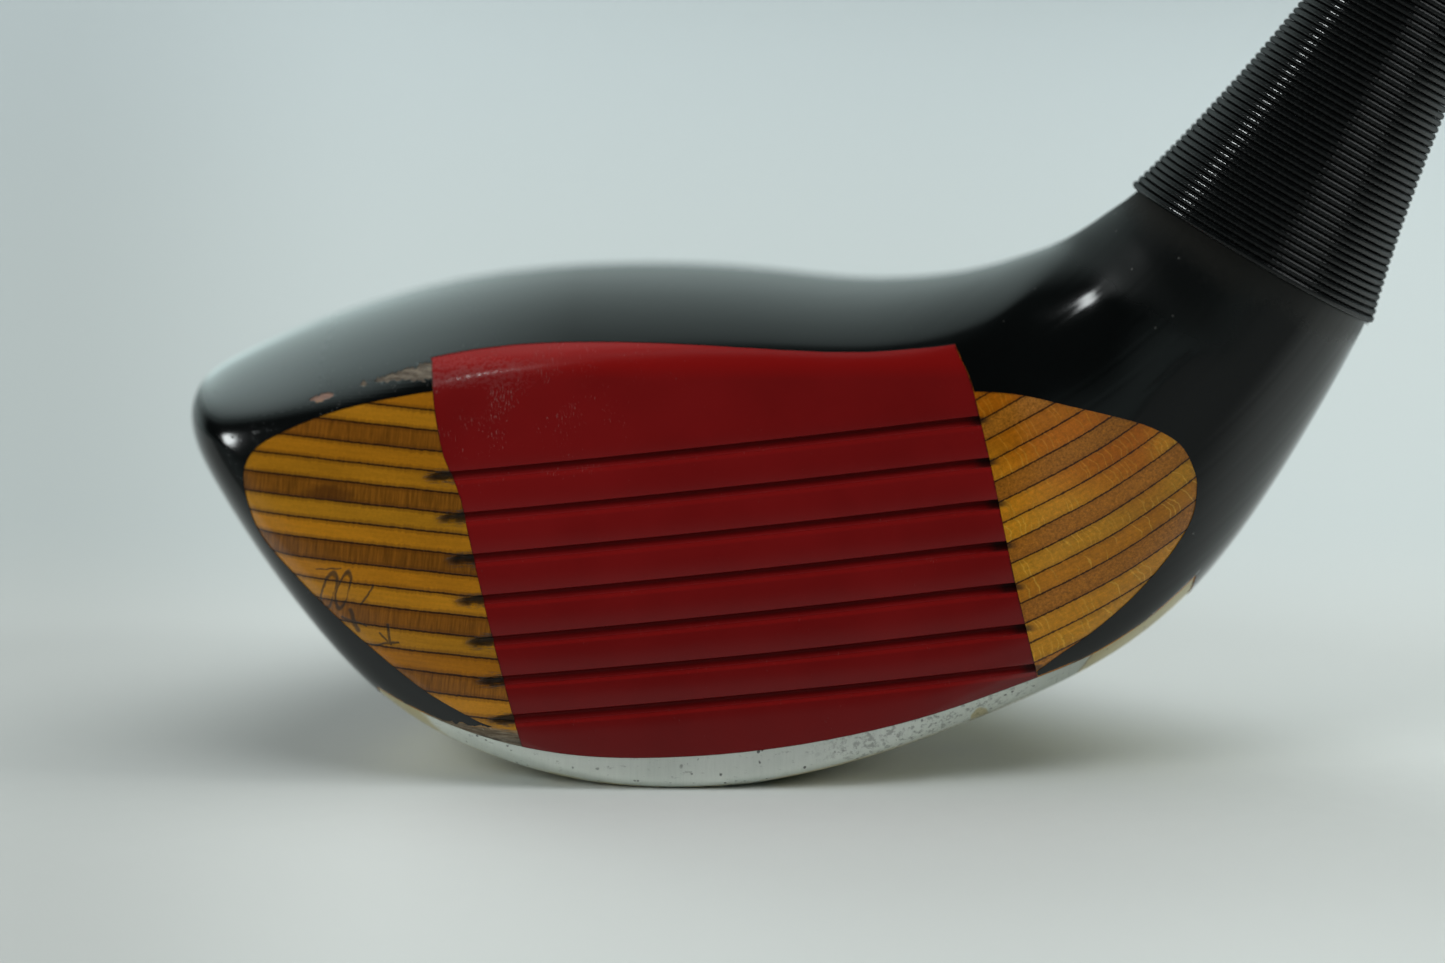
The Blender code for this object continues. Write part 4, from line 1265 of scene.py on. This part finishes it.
# (z, r) of a screw, from its head inwards, and of the countersunk hole that takes it
SCREW_PROFILE = [(0, 2.9), (0.12, 3.2), (0.34, 3.3), (2.1, 1.65), (3, 1.5), (9, 1.5), (11, 0.5)]
SINK_PROFILE = [(-4, 3.55), (0.3, 3.45), (2.2, 1.75), (11.4, 1.65)]
BOX_FACES = [(0, 1, 3, 2), (4, 5, 7, 6), (0, 1, 5, 4), (2, 3, 7, 6), (0, 2, 6, 4), (1, 3, 7, 5)]


def build_screw(label, place):
    screw = rod(f"slotted_screw_{label}", SCREW_PROFILE, 48, place)
    corners = [(x, y, z) for x in (-5, 5) for y in (-0.42, 0.42) for z in (-1, 0.85)]
    slot_mesh = mesh_from("slot", corners, BOX_FACES, False)
    outwards(slot_mesh)
    slot_cut = link("slot_cut", slot_mesh, place)
    carve(screw, [slot_cut])
    bpy.data.objects.remove(slot_cut)
    shade(screw.data, 30)
    dress(screw, ZINC, f"sole_screw_{label}")


def build_head():
    grid = head_grid(stations_to(), (84, 50, 50, 76))
    blank = cutter(link("blank", solid_mesh("blank", grid)))
    plate_bed = plate_block("plate_bed", 0.03)
    frames = screw_frames(blank)
    sinks = [
        cutter(rod(f"sink_{label}", SINK_PROFILE, 40, place)) for label, place in frames.items()
    ]
    build_plies(blank, plate_bed, sinks)
    build_insert(plate_bed)
    build_plate(blank, sinks)
    build_lacquer()
    for label, place in frames.items():
        build_screw(label, place)
    for obj in CUTTERS:
        bpy.data.objects.remove(obj)


build_head()


# ---------------------------------------------------------------- neck and shaft
def build_thread():
    """One continuous thread, wound turn against turn."""
    around, sides = 72, 10
    turns = int((WHIP_TOP - 0.4) / THREAD)
    wire = THREAD / 2 - 0.004
    steps = turns * around
    count = np.arange(steps + 1)
    angle = 2 * pi * count / around
    along = 0.36 + THREAD * count / around
    # each turn lies a little high or low; the first ones stand out, both ends thin away
    jitter = np.random.default_rng(11).normal(0, 1.0, turns + 2)
    lift = np.interp(count / around, np.arange(turns + 2), jitter) * 0.012
    coil_r = np.array([neck_radius(place) for place in along]) + WHIP_WALL - wire + lift
    coil_r = coil_r + 0.10 * np.clip(1 - along / 1.2, 0, 1)
    thick = wire * np.clip(np.minimum(count, count[::-1]) / 10, 0.25, 1)[:, None]
    phase = 2 * pi * np.arange(sides) / sides
    radial = coil_r[:, None] + thick * np.cos(phase)[None]
    height = along[:, None] + thick * np.sin(phase)[None]
    coil = np.stack(
        [radial * np.cos(angle)[:, None], radial * np.sin(angle)[:, None], height], -1
    )
    mesh = mesh_from("thread", coil.reshape(-1, 3), tube_faces(steps + 1, sides), False)
    outwards(mesh)
    mesh.shade_smooth()
    # phase of the twist, one strand every 0.55 mm
    strand = mesh.attributes.new("strand", "FLOAT", "POINT")
    length = np.cumsum(np.r_[0, np.hypot(coil_r[1:] * 2 * pi / around, THREAD / around)])
    twist = length[:, None] * 2 * pi / 0.55 + phase[None] * 2
    strand.data.foreach_set("value", twist.astype(np.float32).ravel())
    thread = link("wound_thread", mesh, SHAFT_FRAME)
    dress(thread, THREAD_MAT, "neck_whipping")


# rings of the ferrule: z above the thread's top, r against the collar's radius
COLLAR = [(0.32, -0.3), (0.8, 0), (2.4, 0), (2.7, -0.35), (3.2, -0.35), (3.5, -0.1),
          (4.6, -0.15), (4.9, -0.5), (5.4, -0.5), (5.7, -0.3), (8.5, -0.5)]


def build_ferrule():
    collar_r = neck_radius(WHIP_TOP) + WHIP_WALL
    low = NECK_TOP + 0.3
    bore_r = TIP_R + 0.06
    skirt = [(z, neck_radius(z)) for z in np.linspace(low, WHIP_TOP + 0.3, 8).tolist()]
    collar = [(WHIP_TOP + z, collar_r + r) for z, r in COLLAR]
    top = [(FERRULE_TOP - 2.5, TIP_R + 1), (FERRULE_TOP - 0.5, TIP_R + 0.62),
           (FERRULE_TOP, TIP_R + 0.3), (FERRULE_TOP - 0.1, bore_r), (low, bore_r)]
    ferrule = turned("ringed_ferrule", skirt + collar + top, 96)
    dress(ferrule, PLASTIC, "neck_ferrule")


SHAFT_TOP = CLUB_LENGTH - NECK_RING[2] / AXIS.z - CAP_T - CAP_GAP
# rise along a shaft step, and the share of its growth reached there
STEP_SHAPE = [(0, 0), (0.5, 0.12), (1, 0.88), (1.5, 1)]


def build_shaft():
    low = BORE_END + 0.3
    growth = BUTT_R - TIP_R
    outside = [(low, TIP_R)]
    for i in range(STEPS):
        start = STEP_FIRST + STEP_PITCH * i
        thin = TIP_R + growth * i / STEPS
        wide = TIP_R + growth * (i + 1) / STEPS
        outside += [(start + z, thin + (wide - thin) * share) for z, share in STEP_SHAPE]
    outside.append((SHAFT_TOP, BUTT_R))
    last_step = STEP_FIRST + STEP_PITCH * STEPS
    inside = [(SHAFT_TOP, 6.95), (last_step, 6.85), (STEP_FIRST, 3.3), (low, 3.3)]
    dress(turned("stepped_shaft", outside + inside, 96, angle=40), CHROME, "shaft")


GRIP_END = SHAFT_TOP - 0.2
GRIP_LOW = GRIP_END - GRIP_LENGTH
SLEEVE_R = BUTT_R + 0.3 + 0.25 + 0.3
LIP_R, SLEEVE_LOW_R = 9.3, 9.8


def grip_radius(z):
    share = (z - GRIP_LOW) / GRIP_LENGTH
    if share < 0.0228:
        return LIP_R + 0.5 * min(1, max(0, (z - GRIP_LOW) / 5)) ** 0.4
    return SLEEVE_LOW_R + 3.6 * share**1.15


def grip_ripple(z, r, turn):
    """Ten rows of short slots, then one groove all round, every 34 mm."""
    up = z - GRIP_LOW
    if r < SLEEVE_R + 0.1 or up < 9 or up > GRIP_LENGTH - 10:
        return r
    band = (up - 9) % 34
    depth = 0.0
    if band < 30:
        row = int(band // 3)
        across = abs((band % 3) - 1.5)
        phase = (turn / (2 * pi) * 14 + 0.5 * (row % 2)) % 1
        if across < 0.62 and 0.14 < phase < 0.86:
            depth = 0.5 * (1 - (across / 0.62) ** 4)
    elif 31 < band < 33:
        depth = 0.35 * (1 - abs(band - 32))
    return r - depth


def build_grip():
    """A moulded sleeve with rings of short slots and a plain band at each end."""
    levels = np.arange(GRIP_LOW + 0.25, GRIP_END - 0.3, 0.5).tolist()
    profile = [(GRIP_LOW, LIP_R - 0.2)]
    profile += [(z, grip_radius(z)) for z in levels]
    profile += [(GRIP_END - 0.15, 13.4), (GRIP_END, 13.1), (GRIP_END, SLEEVE_R)]
    profile.append((GRIP_LOW, SLEEVE_R))
    grip = turned("moulded_grip", profile, 140, angle=50, ripple=grip_ripple)
    dress(grip, RUBBER, "grip")


# (z, r) of the butt cap, below from its underside and above from its top
CAP_BELOW = [(-12, 6.3), (-0.01, 6.5), (0, 13), (0.3, 13.35), (1.2, 13.5)]
CAP_ABOVE = [(-1.3, 13.5), (-0.7, 13.3), (-0.25, 12.8), (0, 12), (0, 9.4), (-0.35, 9.1),
             (-0.35, 8.5), (0, 8.2), (0, 2), (-0.5, 1.7), (-2.5, 1.6)]


def build_cap():
    low = SHAFT_TOP + CAP_GAP
    high = low + CAP_T
    profile = [(low + z, r) for z, r in CAP_BELOW] + [(high + z, r) for z, r in CAP_ABOVE]
    dress(rod("butt_cap_turned", profile, 96), PLASTIC, "butt_cap")


build_thread()
build_ferrule()
build_shaft()
build_grip()
build_cap()

# pieces the frame already has in their final shape, mostly out of sight
for node_name, material in (("lead_slug", LEAD), ("neck_pin", ZINC), ("grip_tape", PAPER)):
    cover(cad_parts[node_name], material)


# ---------------------------------------------------------------- studio (metres)
FLOOR_R, FLOOR_Z = 9.0, -0.0001


def build_floor():
    turns = [2 * pi * i / 96 for i in range(96)]
    ring = [(FLOOR_R * cos(turn), FLOOR_R * sin(turn), FLOOR_Z) for turn in turns]
    mesh = bpy.data.meshes.new("floor")
    mesh.from_pydata(ring, [], [tuple(range(96))])
    floor = link("floor", mesh)
    mesh.materials.append(floor_material())


def build_world():
    """Plain backdrop for the camera; for light and reflections, bright behind the club."""
    world = bpy.data.worlds.new("studio")
    bpy.context.scene.world = world
    world.use_nodes = True
    graph = Graph(world.node_tree)
    x, y, z = graph.split(graph.node("TexCoord", output="Generated"))
    seen = graph.seen()
    behind = y.step(0.10, 0.65)
    back = (0.64 - z.max(0) * 0.44) * z.step(0.98, 0.80)
    front = z.step(0.36, 0.08) * 0.22 + 0.012
    right_dim = 1 - x.step(0.30, 0.75) * 0.45
    sky = graph.scaled((0.82, 1, 0.98), graph.blend(behind, front, back) * right_dim)
    background = world.node_tree.nodes["Background"]
    graph.put(background.inputs["Color"], graph.mix(seen, sky, BACKDROP))
    background.inputs["Strength"].default_value = 1


def disk_light(name, location, direction, radius, radiance, colour, unseen_by):
    """A disk of even radiance, facing against the direction it stands in."""
    data = bpy.data.lights.new(name, "AREA")
    data.shape = "DISK"
    data.size = 2 * radius
    data.energy = radiance * pi * (pi * radius**2)
    data.color = colour
    lamp = bpy.data.objects.new(name, data)
    bpy.context.scene.collection.objects.link(lamp)
    lamp.location = location
    lamp.rotation_euler = (-direction).to_track_quat("-Z", "Y").to_euler()
    lamp.visible_camera = False
    setattr(lamp, f"visible_{unseen_by}", False)
    return lamp


def soft_light(name, direction, distance, radius, radiance, colour, unseen_by="glossy"):
    """A studio lamp, placed from a point just above the floor."""
    towards = Vector(direction).normalized()
    location = towards * distance + Vector((0, 0, 0.03))
    return disk_light(name, location, towards, radius, radiance, colour, unseen_by)


def link_light(lamp, pieces, state="INCLUDE"):
    """Lets the lamp light only these pieces, or all but these."""
    receivers = bpy.data.collections.new(f"{lamp.name}_lights")
    for piece in pieces:
        receivers.objects.link(bpy.data.objects[piece])
    for member in receivers.collection_objects:
        member.light_linking.link_state = state
    lamp.light_linking.receiver_collection = receivers


def near_light(name, spot, direction, radius, radiance, piece, distance=90):
    """A small lamp close to one spot of the head (mm), there only to mirror in one piece."""
    towards = Vector(direction).normalized()
    x, y, z = spot
    location = (Vector((x, y - SOLE_REST_Y, z)) + towards * distance) * MM
    lamp = disk_light(name, location, towards, radius * MM, radiance, (0.94, 1, 1), "diffuse")
    link_light(lamp, [piece])


def build_lights():
    # the overhead and low lights shape the light on matt surfaces
    soft_light("overhead", (0.24, 0.15, 0.96), distance=1.7, radius=1.1, radiance=1.80,
               colour=(0.975, 1, 1.01))
    soft_light("low_back", (-0.55, 0.75, 0.38), distance=2, radius=0.5, radiance=5.5,
               colour=(0.98, 1, 1.01))
    soft_light("low_right", (0.93, -0.03, 0.36), distance=2, radius=0.22, radiance=17,
               colour=(1, 1, 0.97))
    soft_light("low_left", (-0.70, -0.50, 0.50), distance=2, radius=0.60, radiance=3.5,
               colour=(1, 1, 0.99))
    key = soft_light("key", (-0.68, -0.05, 0.74), distance=3, radius=0.24, radiance=44,
                     colour=(0.94, 1, 1), unseen_by="diffuse")
    # the lacquer has its own small lamps, so the key passes it by
    link_light(key, ("black_lacquer_skin", "black_lacquer_toe"), "EXCLUDE")
    near_light("neck_lamp", (35.9, 10.1, 44.1), (-0.807, -0.012, 0.59), radius=5,
               radiance=14, piece="black_lacquer_skin")
    near_light("toe_lamp", (-43.7, 11.5, 30.8), (-0.61, -0.61, 0.50), radius=11.5,
               radiance=20, piece="black_lacquer_toe")
    fill = soft_light("thread_fill", (0.75, -0.33, 0.50), distance=2, radius=0.55,
                      radiance=2.2, colour=(0.96, 1, 1), unseen_by="diffuse")
    link_light(fill, ["wound_thread"])
    near_light("insert_lamp", (-22.5, 12.5, 37.6), (-0.25, -0.49, 0.84), radius=3,
               radiance=45, piece="red_face_insert")


SENSOR, LENS = 36, 112.1107             # mm
ELEVATION = radians(10)
LOOK_AT = (2.08, 7.8, 27.5)             # mm, on the head
CAMERA_REACH = 416.6667                 # mm, from there to the camera


def build_camera():
    data = bpy.data.cameras.new("camera")
    data.sensor_width = SENSOR
    data.lens = LENS
    data.clip_start, data.clip_end = 0.01, 50
    camera = bpy.data.objects.new("camera", data)
    bpy.context.scene.collection.objects.link(camera)
    x, y, z = LOOK_AT
    look_at = Vector((x, y - SOLE_REST_Y, z)) * MM
    towards = Vector((0, -cos(ELEVATION), sin(ELEVATION)))
    camera.location = look_at + towards * (CAMERA_REACH * MM)
    camera.rotation_euler = (pi / 2 - ELEVATION, 0, 0)
    focus = link("focus", None)
    focus.location = (0, -0.009, 0.012)
    data.dof.use_dof = True
    data.dof.focus_object = focus
    data.dof.aperture_fstop = 6.6
    bpy.context.scene.camera = camera


build_floor()
build_world()
build_lights()
build_camera()
bpy.context.scene.view_settings.view_transform = "Standard"

bpy.context.view_layer.update()
